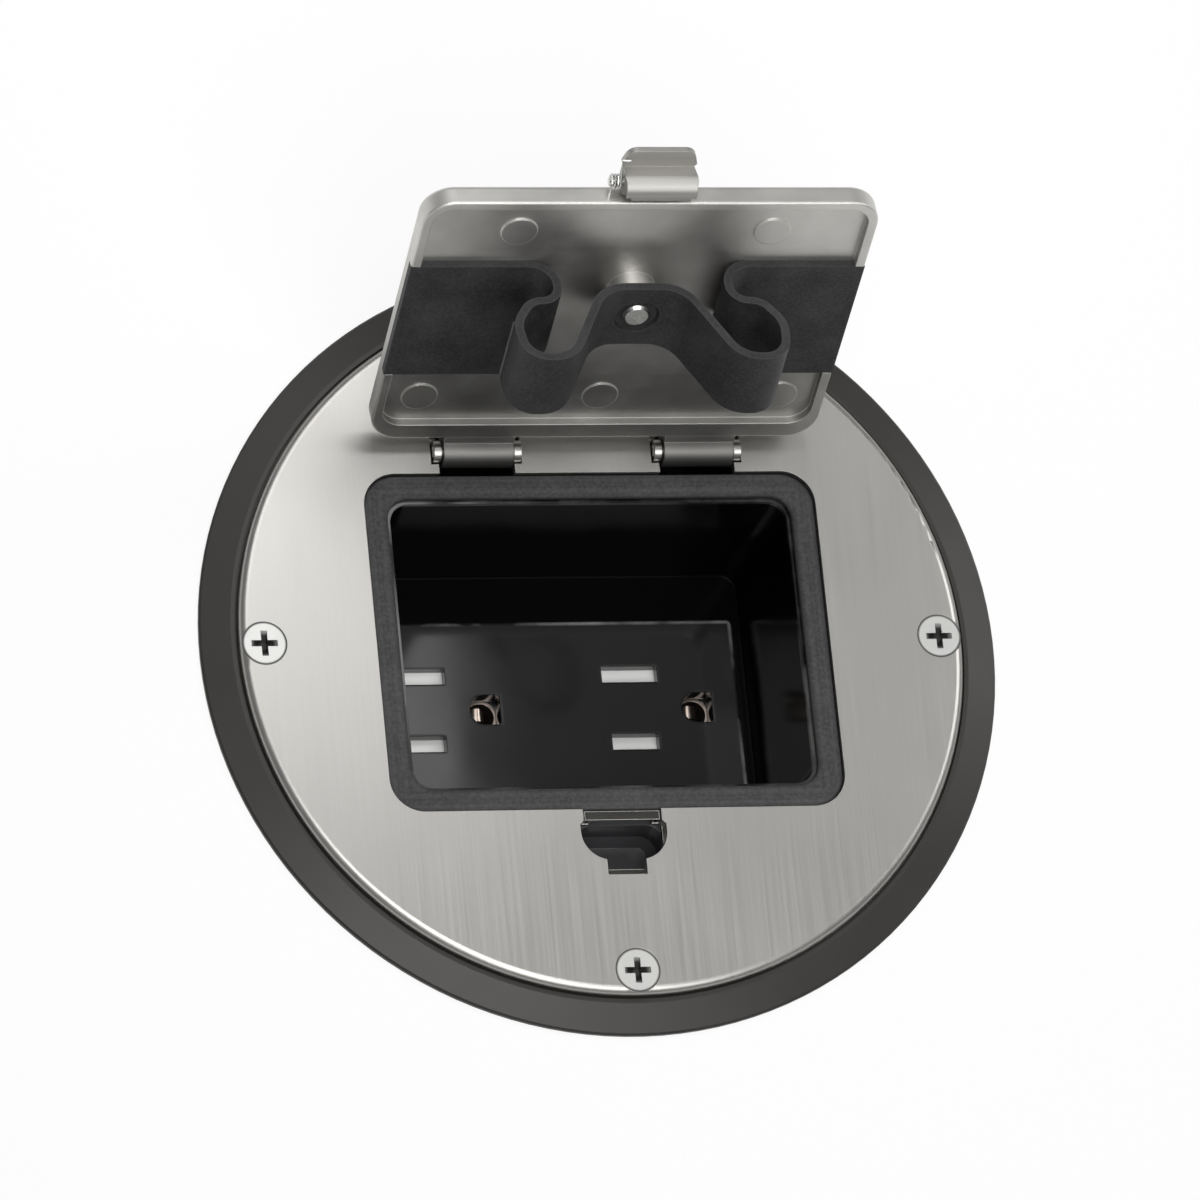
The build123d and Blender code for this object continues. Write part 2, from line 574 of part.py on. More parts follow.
def make_strap_closed():
    line, bends = strap_half()
    points = [(-x, h) for x, h in reversed(line[1:])] + line[1:]
    radii = list(reversed(bends)) + bends
    path = FilletPolyline(*points, radius=radii)
    band = make_face(offset(path, amount=STRAP_T / 2, side=Side.BOTH))
    band = band & Rectangle(LID_X, 4 * LOOP_H)
    flat = LID_FIELD - STRAP_T / 2
    upright = Plane(origin=(0, STRAP_FRONT_Y, flat), x_dir=(1, 0, 0), z_dir=(0, 1, 0))
    strap = extrude(upright * band, STRAP_BAND)
    for side in (-1, 1):
        x_low, x_high = sorted((side * STRAP_PAD_X, side * LID_X / 2))
        strap += block(x_low, x_high, STRAP_FRONT_Y, STRAP_FRONT_Y + STRAP_PAD, LID_BOTTOM, LID_FIELD)
    outside = LID_FIELD - BOSS_H - STRAP_T
    strap -= disc(DISH_R, outside - 2, outside + DISH_DEPTH, 0, RIVET_Y)
    strap -= disc(RIVET_R + 0.05, outside - 2, outside + STRAP_T + 1, 0, RIVET_Y)
    return strap


def make_rivet_closed():
    under_head = LID_FIELD - BOSS_H - STRAP_T + DISH_DEPTH
    rivet = disc(RIVET_HEAD_R, under_head - 1.0, under_head, 0, RIVET_Y)
    rivet = chamfer(rivet.edges().group_by(Axis.Z)[0], 0.5)
    rivet += disc(RIVET_R, under_head, LID_FIELD, 0, RIVET_Y)
    return rivet


def make_lever_closed():
    top = LATCH_R
    under = top - FLAP_T
    leg = -0.1
    outline = Polyline((0, top), (-FLAP_L, top), (-FLAP_L, under), (-2.6, under))
    nose_x = NOSE_R - NOSE_FRONT
    nose_z = NOSE_R - NOSE_DROP
    half_turn = NOSE_R * cos(pi / 4)
    outline += Line((-2.6, under), (-NOSE_FRONT, nose_z))
    outline += ThreePointArc((-NOSE_FRONT, nose_z), (nose_x - half_turn, nose_z - half_turn), (nose_x, -NOSE_DROP))
    outline += Polyline((nose_x, -NOSE_DROP), (BARB_REACH - 0.3, -NOSE_DROP), (BARB_REACH, -NOSE_DROP + BARB_T),
                        (leg, -NOSE_DROP + BARB_T), (leg, -LATCH_R))
    outline += ThreePointArc((leg, -LATCH_R), (LATCH_R, 0), (0, top))
    side_view = Plane(origin=(-9, LATCH_Y, LATCH_Z), x_dir=(0, 1, 0), z_dir=(1, 0, 0))
    lever = extrude(side_view * make_face(outline), 18)
    tip = LATCH_Y - FLAP_L
    plan = Polyline((-LATCH_HALF, LATCH_Y + 4), (LATCH_HALF, LATCH_Y + 4), (LATCH_HALF, LATCH_Y - 2.6),
                    (LATCH_HALF + 0.4, LATCH_Y - 3.2), (FLAP_TIP_HALF, tip), (-FLAP_TIP_HALF, tip),
                    (-LATCH_HALF - 0.4, LATCH_Y - 3.2), (-LATCH_HALF, LATCH_Y - 2.6), close=True)
    plan = make_face(plan)
    corners = plan.vertices().sort_by(Axis.Y)[:2]
    plan = fillet(corners, 2.0)
    lever &= slab(plan, LATCH_Z - 9, LATCH_Z + 9)
    barb_half = STRIKE_HALF - 1.5
    for side in (-1, 1):
        x_low, x_high = sorted((side * barb_half, side * 9))
        lever -= block(x_low, x_high, LATCH_Y + leg, LATCH_Y + 5, LATCH_Z - 9, LATCH_Z - LATCH_R - 0.4)
    room = LUG_HALF + 0.3
    lever -= rod(LUG_R + 0.3, -room, room, LATCH_Y, LATCH_Z)
    lever -= block(-room, room, LATCH_Y, LATCH_Y + 4, LATCH_Z - LUG_R - 0.3, LATCH_Z + 4)
    lever -= rod(LATCH_PIN_R + PIN_RUN, -9, 9, LATCH_Y, LATCH_Z)
    return lever


def make_latch_pin_closed():
    pin = rod(LATCH_PIN_R, -LATCH_HALF - 2.4, LATCH_HALF + 1.0, LATCH_Y, LATCH_Z)
    return chamfer(pin.edges().filter_by(GeomType.CIRCLE), 0.2)


def make_latch_spring_closed():
    """Torsion spring round the pin's left end: one leg on the lid's edge, the other hooked under the flap."""
    radius = LATCH_PIN_R + SPRING_WIRE_R + 0.1
    pitch = 2.4 * SPRING_WIRE_R
    turns = coil_points(radius, pitch, SPRING_TURNS, hand=-1)
    end_angle = 2 * pi * SPRING_TURNS
    end_x, end_y, end_z = turns[-1]
    flap_x = end_x - SPRING_LEG * sin(end_angle)
    flap_y = end_y - SPRING_LEG * cos(end_angle)
    points = [(radius, LATCH_OUT, 0)] + turns + [(flap_x, flap_y, end_z), (flap_x, flap_y, end_z + 1.4)]
    return Pos(-LATCH_HALF - 2.1, LATCH_Y, LATCH_Z) * Rot(0, 90, 0) * bent_wire(points, SPRING_WIRE_R)


def make_receptacle_face():
    face = slab(RectangleRounded(FACE_X, FACE_Y, 1.0), FACE_BOTTOM, FACE_TOP)
    face = fillet(face.edges().group_by(Axis.Z)[-1], 0.8)
    room = SHUTTER_SLIDE_GAP
    half_x = LONG_SLOT / 2 + 1.7 + room
    back = SLOT_SPREAD + SLOT_WIDTH / 2 + 0.25
    for x in OUTLETS:
        face -= block(x - half_x, x + half_x, -back - room, back + SHUTTER_TRAVEL + 2.9,
                      FACE_BOTTOM - 1, SHUTTER_TOP + 0.2)
        face -= block(x - LONG_SLOT / 2, x + LONG_SLOT / 2, SLOT_SPREAD - SLOT_WIDTH / 2,
                      SLOT_SPREAD + SLOT_WIDTH / 2, FACE_BOTTOM, FACE_TOP + 1)
        face -= block(x - SHORT_SLOT / 2, x + SHORT_SLOT / 2, -SLOT_SPREAD - SLOT_WIDTH / 2,
                      -SLOT_SPREAD + SLOT_WIDTH / 2, FACE_BOTTOM, FACE_TOP + 1)
        ground = x + GROUND_OFFSET
        face -= disc(GROUND_R, FACE_BOTTOM, FACE_TOP + 1, ground)
        face -= block(ground, ground + GROUND_R, -GROUND_R, GROUND_R, FACE_BOTTOM, FACE_TOP + 1)
        face -= disc(GROUND_R + 0.8, FACE_BOTTOM - 1, FACE_TOP - 3.6, ground)
    for y in (-RIVET_SPREAD, RIVET_SPREAD):
        face -= disc(BASE_RIVET_R, FACE_BOTTOM - 1, FACE_TOP - 2, RIVET_X, y)
    return face


def make_shutter(x):
    half_x = LONG_SLOT / 2 + 1.7
    back = SLOT_SPREAD + SLOT_WIDTH / 2 + 0.25
    inside = SLOT_SPREAD - SLOT_WIDTH / 2 - 0.25
    shutter = block(x - half_x, x + half_x, -back, back, SHUTTER_TOP - SHUTTER_T, SHUTTER_TOP)
    clear = LONG_SLOT / 2 + 0.35
    shutter -= block(x - clear, x + clear, -inside, inside, SHUTTER_TOP - SHUTTER_T - 1, SHUTTER_TOP + 1)
    return shutter


def make_shutter_spring(x):
    start = SLOT_SPREAD + SLOT_WIDTH / 2 + 0.25
    length = SHUTTER_TRAVEL + 2.9
    turns = 4
    wire = 0.18
    spring = bent_wire(coil_points(0.7, (length - 2 * wire) / turns, turns), wire)
    middle = SHUTTER_TOP - SHUTTER_T / 2
    return Pos(x, start + wire, middle) * Rot(-90, 0, 0) * spring


def make_receptacle_base():
    base = slab(RectangleRounded(BASE_X, BASE_Y, 1.5), BASE_BOTTOM, FACE_BOTTOM)
    half = YOKE_MIDDLE_W / 2 + 0.15
    base -= block(-BASE_X, BASE_X, -half, half, YOKE_BOTTOM, FACE_BOTTOM + 1)
    finger_half = SHORT_SLOT / 2 + 0.3
    near = SLOT_SPREAD - BLADE_GAP / 2 - CONTACT_T
    for side in (-1, 1):
        for x in OUTLETS:
            base -= block(x - finger_half, x + finger_half, side * (near - 0.2), side * (2 * SLOT_SPREAD - near + 0.2),
                          CONTACT_BOTTOM, FACE_BOTTOM + 1)
            base -= block(x - finger_half, x + finger_half, side * near, side * TAB_Y,
                          CONTACT_BOTTOM, CONTACT_BOTTOM + CONTACT_T + 0.3)
        base -= block(LEFT_SLOT_X - finger_half, RIGHT_SLOT_X + finger_half, side * (TAB_Y - CONTACT_T - 0.3),
                      side * TAB_Y, CONTACT_BOTTOM, FACE_BOTTOM + 1)
        for x in OUTLETS:
            base -= block(x - 7.5, x + 7.5, side * (TAB_Y - 0.1), side * BASE_Y,
                          CONTACT_BOTTOM - 2, CONTACT_BOTTOM + 12.5)
            base -= block(x - 2.2, x + 2.2, side * (TAB_Y - 3.6), side * BASE_Y, CONTACT_BOTTOM + 3,
                          CONTACT_BOTTOM + 9)
    for x in OUTLETS:
        ground = x + GROUND_OFFSET
        base -= disc(SLEEVE_R + 0.3, YOKE_BOTTOM - SLEEVE_DROP - 0.5, FACE_BOTTOM + 1, ground)
        base -= disc(SLEEVE_COLLAR_R + 0.3, YOKE_BOTTOM - SLEEVE_T, FACE_BOTTOM, ground)
    for y in (-RIVET_SPREAD, RIVET_SPREAD):
        base -= disc(BASE_RIVET_R, BASE_BOTTOM - 1, FACE_BOTTOM + 1, RIVET_X, y)
    return base


def make_ground_contacts():
    """Sleeves for the ground pins, each with a bowed spring leaf at its mouth."""
    sleeves = []
    top = FACE_BOTTOM + SLEEVE_RISE
    for x in OUTLETS:
        ground = x + GROUND_OFFSET
        sleeve = disc(SLEEVE_R, YOKE_BOTTOM - SLEEVE_DROP, top, ground)
        sleeve += disc(SLEEVE_COLLAR_R, YOKE_BOTTOM - SLEEVE_T, YOKE_BOTTOM, ground)
        sleeve -= disc(SLEEVE_R - SLEEVE_T, YOKE_BOTTOM - SLEEVE_DROP - 1, FACE_TOP, ground)
        leaf_x = ground - LEAF_R + 0.5
        inside = LEAF_R - SLEEVE_T
        bow = Rot(90, 0, 0) * (Cylinder(LEAF_R, LEAF_W) - Cylinder(inside, LEAF_W + 1))
        bow = Pos(leaf_x, 0, top) * bow
        bow -= block(leaf_x - 2 * LEAF_R, leaf_x + 2 * LEAF_R, -LEAF_W, LEAF_W, top - 2 * LEAF_R, top)
        bow += block(leaf_x + inside, leaf_x + LEAF_R, -LEAF_W / 2, LEAF_W / 2, top - 2 * LEAF_R, top)
        bow += block(ground - SLEEVE_R + 0.3, leaf_x - inside, -LEAF_W / 2, LEAF_W / 2, top - 1, top)
        sleeves.append(sleeve + bow)
    return sleeves


def make_yoke():
    yoke = Rectangle(YOKE_L, YOKE_MIDDLE_W)
    inner_end = BASE_X / 2 + 1.2
    for side in (-1, 1):
        end = Pos(side * (YOKE_L / 2 + inner_end) / 2) * RectangleRounded(YOKE_L / 2 - inner_end, YOKE_END_W, 2.5)
        yoke += end
        yoke -= Pos(side * YOKE_SCREW_X) * Circle(YOKE_SCREW_R + SCREW_GAP)
    for x in OUTLETS:
        yoke -= Pos(x + GROUND_OFFSET) * Circle(SLEEVE_R + 0.02)
    return slab(yoke, YOKE_BOTTOM, FACE_BOTTOM)


def make_yoke_screws():
    screw = disc(YOKE_SCREW_R, YOKE_BOTTOM, FACE_BOTTOM + YOKE_BOSS_H - 2.5)
    foot = YOKE_BOTTOM - YOKE_HEAD_T
    head = disc(YOKE_HEAD_R, foot, YOKE_BOTTOM)
    head = chamfer(head.edges().group_by(Axis.Z)[0], YOKE_HEAD_T / 4)
    head -= block(-YOKE_HEAD_R - 1, YOKE_HEAD_R + 1, -0.45, 0.45, foot - 1, foot + YOKE_HEAD_T / 2)
    return [Pos(x) * (screw + head) for x in (-YOKE_SCREW_X, YOKE_SCREW_X)]


def make_receptacle_rivets():
    rivets = []
    for y in (-RIVET_SPREAD, RIVET_SPREAD):
        rivet = disc(BASE_RIVET_R, BASE_BOTTOM, FACE_TOP - 2, RIVET_X, y)
        rivet += disc(BASE_RIVET_FOOT_R, BASE_BOTTOM - BASE_RIVET_FOOT_T, BASE_BOTTOM, RIVET_X, y)
        rivets.append(rivet)
    return rivets


def make_contact(side):
    """Contact strip of one pole: two pairs of fingers and a plate for the terminal screws."""
    finger_half = SHORT_SLOT / 2
    near = SLOT_SPREAD - BLADE_GAP / 2 - CONTACT_T
    far = SLOT_SPREAD + BLADE_GAP / 2
    top = CONTACT_BOTTOM + FINGER_H
    contact = block(LEFT_SLOT_X - finger_half, RIGHT_SLOT_X + finger_half, side * (TAB_Y - CONTACT_T), side * TAB_Y,
                    CONTACT_BOTTOM, CONTACT_BOTTOM + 12)
    for x in OUTLETS:
        x_low = x - finger_half
        x_high = x + finger_half
        contact += block(x_low, x_high, side * near, side * TAB_Y, CONTACT_BOTTOM, CONTACT_BOTTOM + CONTACT_T)
        contact += block(x_low, x_high, side * near, side * (near + CONTACT_T), CONTACT_BOTTOM, top)
        contact += block(x_low, x_high, side * far, side * (far + CONTACT_T), CONTACT_BOTTOM, top)
        hole = Pos(x, side * TAB_Y, CONTACT_BOTTOM + 6) * Rot(90, 0, 0) * Cylinder(TERMINAL_R, 4)
        contact -= hole
    return contact


def make_terminal_screws():
    screws = []
    for side in (-1, 1):
        for x in OUTLETS:
            screw = Cylinder(TERMINAL_R, TERMINAL_L, align=HANG_ALIGN)
            head = Cylinder(TERMINAL_HEAD_R, TERMINAL_HEAD_T, align=BASE_ALIGN)
            head = chamfer(head.edges().group_by(Axis.Z)[-1], TERMINAL_HEAD_T / 4)
            screw += head - Pos(0, 0, TERMINAL_HEAD_T) * Box(3 * TERMINAL_HEAD_R, 0.9, TERMINAL_HEAD_T)
            turn = Rot(-90 * side, 0, 0)
            screws.append(Pos(x, side * TAB_Y, CONTACT_BOTTOM + 6) * turn * screw)
    return screws


def write(name, shape):
    if isinstance(shape, list):
        shape = Compound(children=[Part(piece.wrapped) for piece in shape])
    export_step(shape, f"parts/{name}.step")


def main():
    os.makedirs("parts", exist_ok=True)
    write("box_body", make_box_body())
    write("conduit_hubs", make_conduit_hubs())
    write("conduit_plug", make_conduit_plug())
    write("trim_ring", make_trim_ring())
    write("plate_seal", make_plate_seal())
    write("cover_plate", make_cover_plate())
    write("cover_screws", make_cover_screws())
    write("lid_gasket", make_lid_gasket())
    write("recess_cup", make_recess_cup())
    write("cup_studs", make_cup_studs())
    write("cup_nuts", make_cup_nuts())
    bracket = make_hinge_bracket()
    write("hinge_bracket_right", bracket)
    write("hinge_bracket_left", mirror_x(bracket))
    pin = make_hinge_pin()
    write("hinge_pin_right", pin)
    write("hinge_pin_left", mirror_x(pin))
    write("keeper", make_keeper())
    write("latch_pocket", make_latch_pocket())
    write("receptacle_face", make_receptacle_face())
    write("receptacle_base", make_receptacle_base())
    write("receptacle_rivets", make_receptacle_rivets())
    write("yoke", make_yoke())
    write("yoke_screws", make_yoke_screws())
    write("neutral_contact", make_contact(1))
    write("hot_contact", make_contact(-1))
    write("ground_contacts", make_ground_contacts())
    write("terminal_screws", make_terminal_screws())
    write("shutter_left", make_shutter(LEFT_SLOT_X))
    write("shutter_right", make_shutter(RIGHT_SLOT_X))
    write("shutter_spring_left", make_shutter_spring(LEFT_SLOT_X))
    write("shutter_spring_right", make_shutter_spring(RIGHT_SLOT_X))
    write("lid", LID_SWING * make_lid_closed())
    write("strap", LID_SWING * make_strap_closed())
    write("strap_rivet", LID_SWING * make_rivet_closed())
    write("latch_lever", LID_SWING * make_lever_closed())
    write("latch_pin", LID_SWING * make_latch_pin_closed())
    write("latch_spring", LID_SWING * make_latch_spring_closed())


if __name__ == "__main__":
    main()
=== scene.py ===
"""Dresses a floor socket box: brushed metal, rubber strap and gasket, black cup and receptacle."""

import json
import math

import bmesh
import bpy
from bpy.props import FloatProperty, FloatVectorProperty, PointerProperty
from mathutils import Matrix, Vector


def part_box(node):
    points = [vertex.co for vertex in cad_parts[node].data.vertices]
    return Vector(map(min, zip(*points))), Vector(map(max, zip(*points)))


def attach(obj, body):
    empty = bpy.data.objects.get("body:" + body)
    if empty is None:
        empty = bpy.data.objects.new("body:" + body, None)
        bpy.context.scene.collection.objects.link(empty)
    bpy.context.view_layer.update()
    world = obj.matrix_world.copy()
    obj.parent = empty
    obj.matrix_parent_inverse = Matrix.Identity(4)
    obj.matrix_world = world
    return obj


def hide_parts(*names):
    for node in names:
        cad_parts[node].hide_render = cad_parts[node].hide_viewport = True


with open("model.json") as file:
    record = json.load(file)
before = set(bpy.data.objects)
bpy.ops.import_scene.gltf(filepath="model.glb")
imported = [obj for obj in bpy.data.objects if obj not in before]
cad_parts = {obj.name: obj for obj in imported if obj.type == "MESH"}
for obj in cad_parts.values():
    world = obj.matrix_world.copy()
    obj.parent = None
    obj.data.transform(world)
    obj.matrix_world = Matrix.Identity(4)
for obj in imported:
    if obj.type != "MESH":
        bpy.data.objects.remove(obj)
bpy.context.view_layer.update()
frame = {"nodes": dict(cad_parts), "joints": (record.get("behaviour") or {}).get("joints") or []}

bl_info = {
    "name": "Floor socket box",
    "version": (1, 0, 0),
    "blender": (4, 5, 0),
    "location": "View3D > Sidebar > Socket Box",
    "description": "Finishes, strap, gasket and studio for a round floor socket box",
    "category": "Object",
}

MM = 0.001
PHOTO_WIDTH = 1200
SENSOR = 36.0

LID_JOINT = next(joint for joint in frame["joints"] if joint["name"] == "lid_hinge")
HINGE = Vector(LID_JOINT["pos_m"])
OPEN_ANGLE = math.radians(LID_JOINT["range_deg"][1])
LID_OUTWARD = (0.0, math.sin(OPEN_ANGLE), math.cos(OPEN_ANGLE))
KNUCKLE_TOP = HINGE.z + 3.3 * MM
PLATE_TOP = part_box("cover_plate")[1].z
SCREW_HEAD = 4.0 * MM
SCREW_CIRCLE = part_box("cover_screws")[1].x - SCREW_HEAD
GASKET_LOW, GASKET_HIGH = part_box("lid_gasket")
FACE_LOW, FACE_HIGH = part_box("receptacle_face")
DRUM_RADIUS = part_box("box_body")[1].x

# Height of the finest textures, and the rounding that shading gives to sharp edges
RELIEF = 0.02 * MM
EDGE_ROUND = 0.15 * MM
PLATED_ROUND = 0.12 * MM
CAST_ROUND = 0.3 * MM
MOULD_ROUND = 0.6 * MM
# Spots of noise to the metre
WEAR_SCALE = 420.0
MARKS_SCALE = 70.0
# Stretch of brush lines that run along the hinge
HINGE_LINES = (60, 900, 900)

# Edges of the gasket's section, outside and inside
GASKET_OUTER_ROUND = 0.5 * MM
GASKET_INNER_ROUND = 0.6 * MM
GASKET_CORNER_SHRINK = 0.47
GASKET_CORNER_STEPS = 8

# The strap's middle line on one side: along the lid, and off its flat, in millimetres
STRAP_LINE = [(7.0, 5.2), (14.8, 21.0), (22.8, 21.0), (23.6, 13.23), (20.4, 8.505), (15.2, 8.19),
              (15.2, 0)]
STRAP_BENDS = [6.6, 5.6, 4.2, 6.0, 3.6, 3.2, 4.5]
STRAP_BEND_STEPS = 9
STRAP_PAD_START = 19.7
STRAP_PAD_END = 40.3
STRAP_PAD_OVERLAP = 0.3
STRAP_FRONT = 49.7
STRAP_BACK = 21.5
STRAP_EDGE = 0.35 * MM
DISH_TAPER = 0.86
DISH_SIDES = 40
RIVET_HOLE_DEPTH = 3 * MM
CUT_CLEAR = 0.5 * MM

FLOOR_RADIUS = 3.0
FLOOR_HOLE = 1.01 * DRUM_RADIUS
FLOOR_LEVEL = -0.05 * MM
FLOOR_SIDES = 96
FLOOR_GLOW = 0.85

# Softboxes: name, place, the point they face, width and depth
SOFTBOXES = (
    ("key", (-0.04, 0.20, 0.28), (-0.04, 0.20, 0.0), 0.20, 0.24),
    ("fill", (0.08, -0.55, 0.80), (0.0, 0.0, 0.0), 0.7, 0.6),
    ("side", (0.46, 0.20, 0.42), (0.0, 0.0, 0.0), 0.25, 0.30),
    ("top", (-0.08, -0.12, 0.85), (0.0, 0.0, 0.0), 0.3, 0.3),
)


class Value:
    """A number that varies over a surface. Arithmetic on it adds Math nodes to its finish."""

    def __init__(self, finish, socket):
        self.finish = finish
        self.socket = socket

    def math(self, operation, first, second):
        return self.finish.node("ShaderNodeMath", {"operation": operation}, {0: first, 1: second})

    def __add__(self, other):
        return self.math("ADD", self, other)

    def __radd__(self, other):
        return self.math("ADD", other, self)

    def __sub__(self, other):
        return self.math("SUBTRACT", self, other)

    def __rsub__(self, other):
        return self.math("SUBTRACT", other, self)

    def __mul__(self, other):
        return self.math("MULTIPLY", self, other)

    def __rmul__(self, other):
        return self.math("MULTIPLY", other, self)

    def __abs__(self):
        return self.math("ABSOLUTE", self, 0.0)

    def __pow__(self, other):
        return self.math("POWER", self, other)

    def largest(self, other):
        return self.math("MAXIMUM", self, other)

    def smallest(self, other):
        return self.math("MINIMUM", self, other)


class Finish:
    """A node material built round one Principled shader."""

    def __init__(self, name, **constants):
        self.material = bpy.data.materials.new(name)
        self.material.use_nodes = True
        self.tree = self.material.node_tree
        self.shader = self.tree.nodes["Principled BSDF"]
        self.set(**constants)

    def set(self, **sockets):
        """Feeds sockets of the shader, whose names have _ for a space here."""
        for name, value in sockets.items():
            self.feed(self.shader.inputs[name.replace("_", " ")], value)

    def feed(self, socket, value):
        """Links a value that varies over the surface, or sets a constant."""
        if isinstance(value, Value):
            self.tree.links.new(value.socket, socket)
        else:
            socket.default_value = value

    def node(self, kind, settings=None, inputs=None, output=0):
        """Adds a node, sets it up, fills or links its sockets and returns one of its outputs."""
        node = self.tree.nodes.new(kind)
        for name, value in (settings or {}).items():
            setattr(node, name, value)
        for name, value in (inputs or {}).items():
            self.feed(node.inputs[name], value)
        return Value(self, node.outputs[output])

    def noise(self, scale, detail, stretch=(1.0, 1.0, 1.0)):
        """Noise in the piece's own coordinates, which are first stretched along each axis."""
        spot = self.node("ShaderNodeTexCoord", output="Object")
        place = self.node("ShaderNodeMapping", inputs={"Vector": spot, "Scale": stretch})
        inputs = {"Vector": place, "Scale": scale, "Detail": detail}
        return self.node("ShaderNodeTexNoise", inputs=inputs)

    def between(self, value, low, high):
        """Brings a value to 0 at low and 1 at high, and holds it there beyond them."""
        inputs = {"Value": value, "From Min": low, "From Max": high}
        return self.node("ShaderNodeMapRange", inputs=inputs)

    def along(self, axis):
        """A point's own coordinate along X, Y or Z."""
        spot = self.node("ShaderNodeTexCoord", output="Object")
        return self.node("ShaderNodeSeparateXYZ", inputs={"Vector": spot}, output=axis)

    def height(self, low, high):
        """0 below one height of the piece and 1 above another."""
        return self.between(self.along("Z"), low, high)

    def inset(self, low, high):
        """How far in from the nearest side of a box a point lies, seen from above."""
        gaps = []
        for axis, level in enumerate((self.along("X"), self.along("Y"))):
            middle = (low[axis] + high[axis]) / 2
            gaps.append((high[axis] - low[axis]) / 2 - abs(level - middle))
        return gaps[0].smallest(gaps[1])

    def agreement(self, first, second):
        """1 where two directions are the same, and less the further they turn apart."""
        settings = {"operation": "DOT_PRODUCT"}
        return self.node("ShaderNodeVectorMath", settings, {0: first, 1: second}, output="Value")

    def corners(self, width):
        """1 along the piece's edges, within a width, and 0 on its flats."""
        rounded = self.node("ShaderNodeBevel", {"samples": 6}, {"Radius": width})
        plain = self.node("ShaderNodeNewGeometry", output="Normal")
        return self.between(1 - self.agreement(rounded, plain), 0.01, 0.15)

    def mix(self, factor, first, second):
        """Blends from one colour to another as the factor goes from 0 to 1."""
        colours = {0: factor, 6: (*first, 1.0), 7: (*second, 1.0)}
        return self.node("ShaderNodeMix", {"data_type": "RGBA"}, colours, output=2)

    def bump(self, height, strength, distance, edge=0.0):
        """Raises the surface by a height map; edge rounds the look of sharp corners."""
        inputs = {"Height": height, "Strength": strength, "Distance": distance}
        if edge:
            inputs["Normal"] = self.node("ShaderNodeBevel", {"samples": 4}, {"Radius": edge})
        self.set(Normal=self.node("ShaderNodeBump", inputs=inputs))


def shade(colour, factor):
    """A darker or paler form of a colour."""
    return tuple(channel * factor for channel in colour)


def brushed_metal(name, colour, roughness, lines, spread=0.12):
    """Metal with fine brush lines; lines gives the stretch of the grain along X, Y and Z."""
    finish = Finish(name, Metallic=1.0)
    grain = finish.noise(1.0, 4.0, lines)
    cloud = finish.noise(45.0, 2.0)
    finish.set(Base_Color=finish.mix(grain, shade(colour, 1 - spread), shade(colour, 1 + spread)))
    finish.set(Roughness=roughness - 0.09 + 0.12 * grain + 0.06 * cloud)
    finish.bump(grain, 0.10, RELIEF, EDGE_ROUND)
    return finish


def plated_metal(name, colour, roughness):
    """Bright plating with faint wear."""
    finish = Finish(name, Metallic=1.0)
    wear = finish.noise(WEAR_SCALE, 3.0)
    finish.set(Base_Color=finish.mix(wear, shade(colour, 0.82), shade(colour, 1.1)))
    finish.set(Roughness=roughness - 0.06 + 0.14 * wear)
    finish.bump(wear, 0.08, RELIEF, PLATED_ROUND)
    return finish


def moulded_plastic(name, colour, roughness, grain=0.05, shine=0.5):
    """Moulded plastic with a slight skin texture and handling marks."""
    finish = Finish(name, Specular_IOR_Level=shine)
    skin = finish.noise(1600.0, 2.0)
    marks = finish.noise(MARKS_SCALE, 4.0)
    finish.set(Base_Color=finish.mix(marks, shade(colour, 0.85), shade(colour, 1.2)))
    finish.set(Roughness=roughness - 0.05 + 0.12 * marks)
    finish.bump(skin, grain, RELIEF, EDGE_ROUND)
    return finish


def glossy_plastic(name, colour, painted_glint, roughness, shine, box, width, low):
    """Plastic with a painted glint, a paler colour, in places on its coated rim: near a box's sides
    and above one height.
    """
    finish = Finish(name, Specular_IOR_Level=shine, Coat_Roughness=0.12)
    fade = 0.2 * MM
    marks = finish.noise(MARKS_SCALE, 4.0)
    near = finish.between(finish.inset(*box), width + fade, width - fade)
    rim = near * finish.height(low - fade, low + fade)
    # Painted highlight: the rim is painted paler in streaks; the coat on the rim is real gloss.
    finish.set(Base_Color=finish.mix(rim * finish.between(marks, 0.44, 0.64), colour, painted_glint))
    finish.set(Roughness=roughness - 0.05 + 0.12 * marks, Coat_Weight=rim)
    finish.bump(marks, 0.02, RELIEF, MOULD_ROUND)
    return finish


def soft_rubber(name, colour, bloom, roughness, clouds=0.25, edge=0.0, box=None):
    """Dark matt rubber with a paler bloom in patches and in ribs round a box, and paler along its
    edges.
    """
    finish = Finish(name, Specular_IOR_Level=0.3)
    skin = finish.noise(2200.0, 3.0)
    patches = finish.between(finish.noise(120.0, 5.0), 0.38, 0.72)
    specks = finish.between(finish.noise(1900.0, 4.0), 0.40, 0.64)
    pale = clouds * patches + 0.45 * specks
    if box:
        ribs = finish.node("ShaderNodeTexNoise", {"noise_dimensions": "1D"},
                           {"W": finish.inset(*box), "Scale": 1500.0, "Detail": 2.0})
        pale += 0.4 * finish.between(ribs, 0.38, 0.62)
    if edge:
        pale = pale.largest(finish.corners(edge))
    finish.set(Base_Color=finish.mix(pale, colour, bloom))
    finish.set(Roughness=roughness - 0.08 + 0.14 * skin)
    finish.bump(skin, 0.22, 0.03 * MM)
    return finish


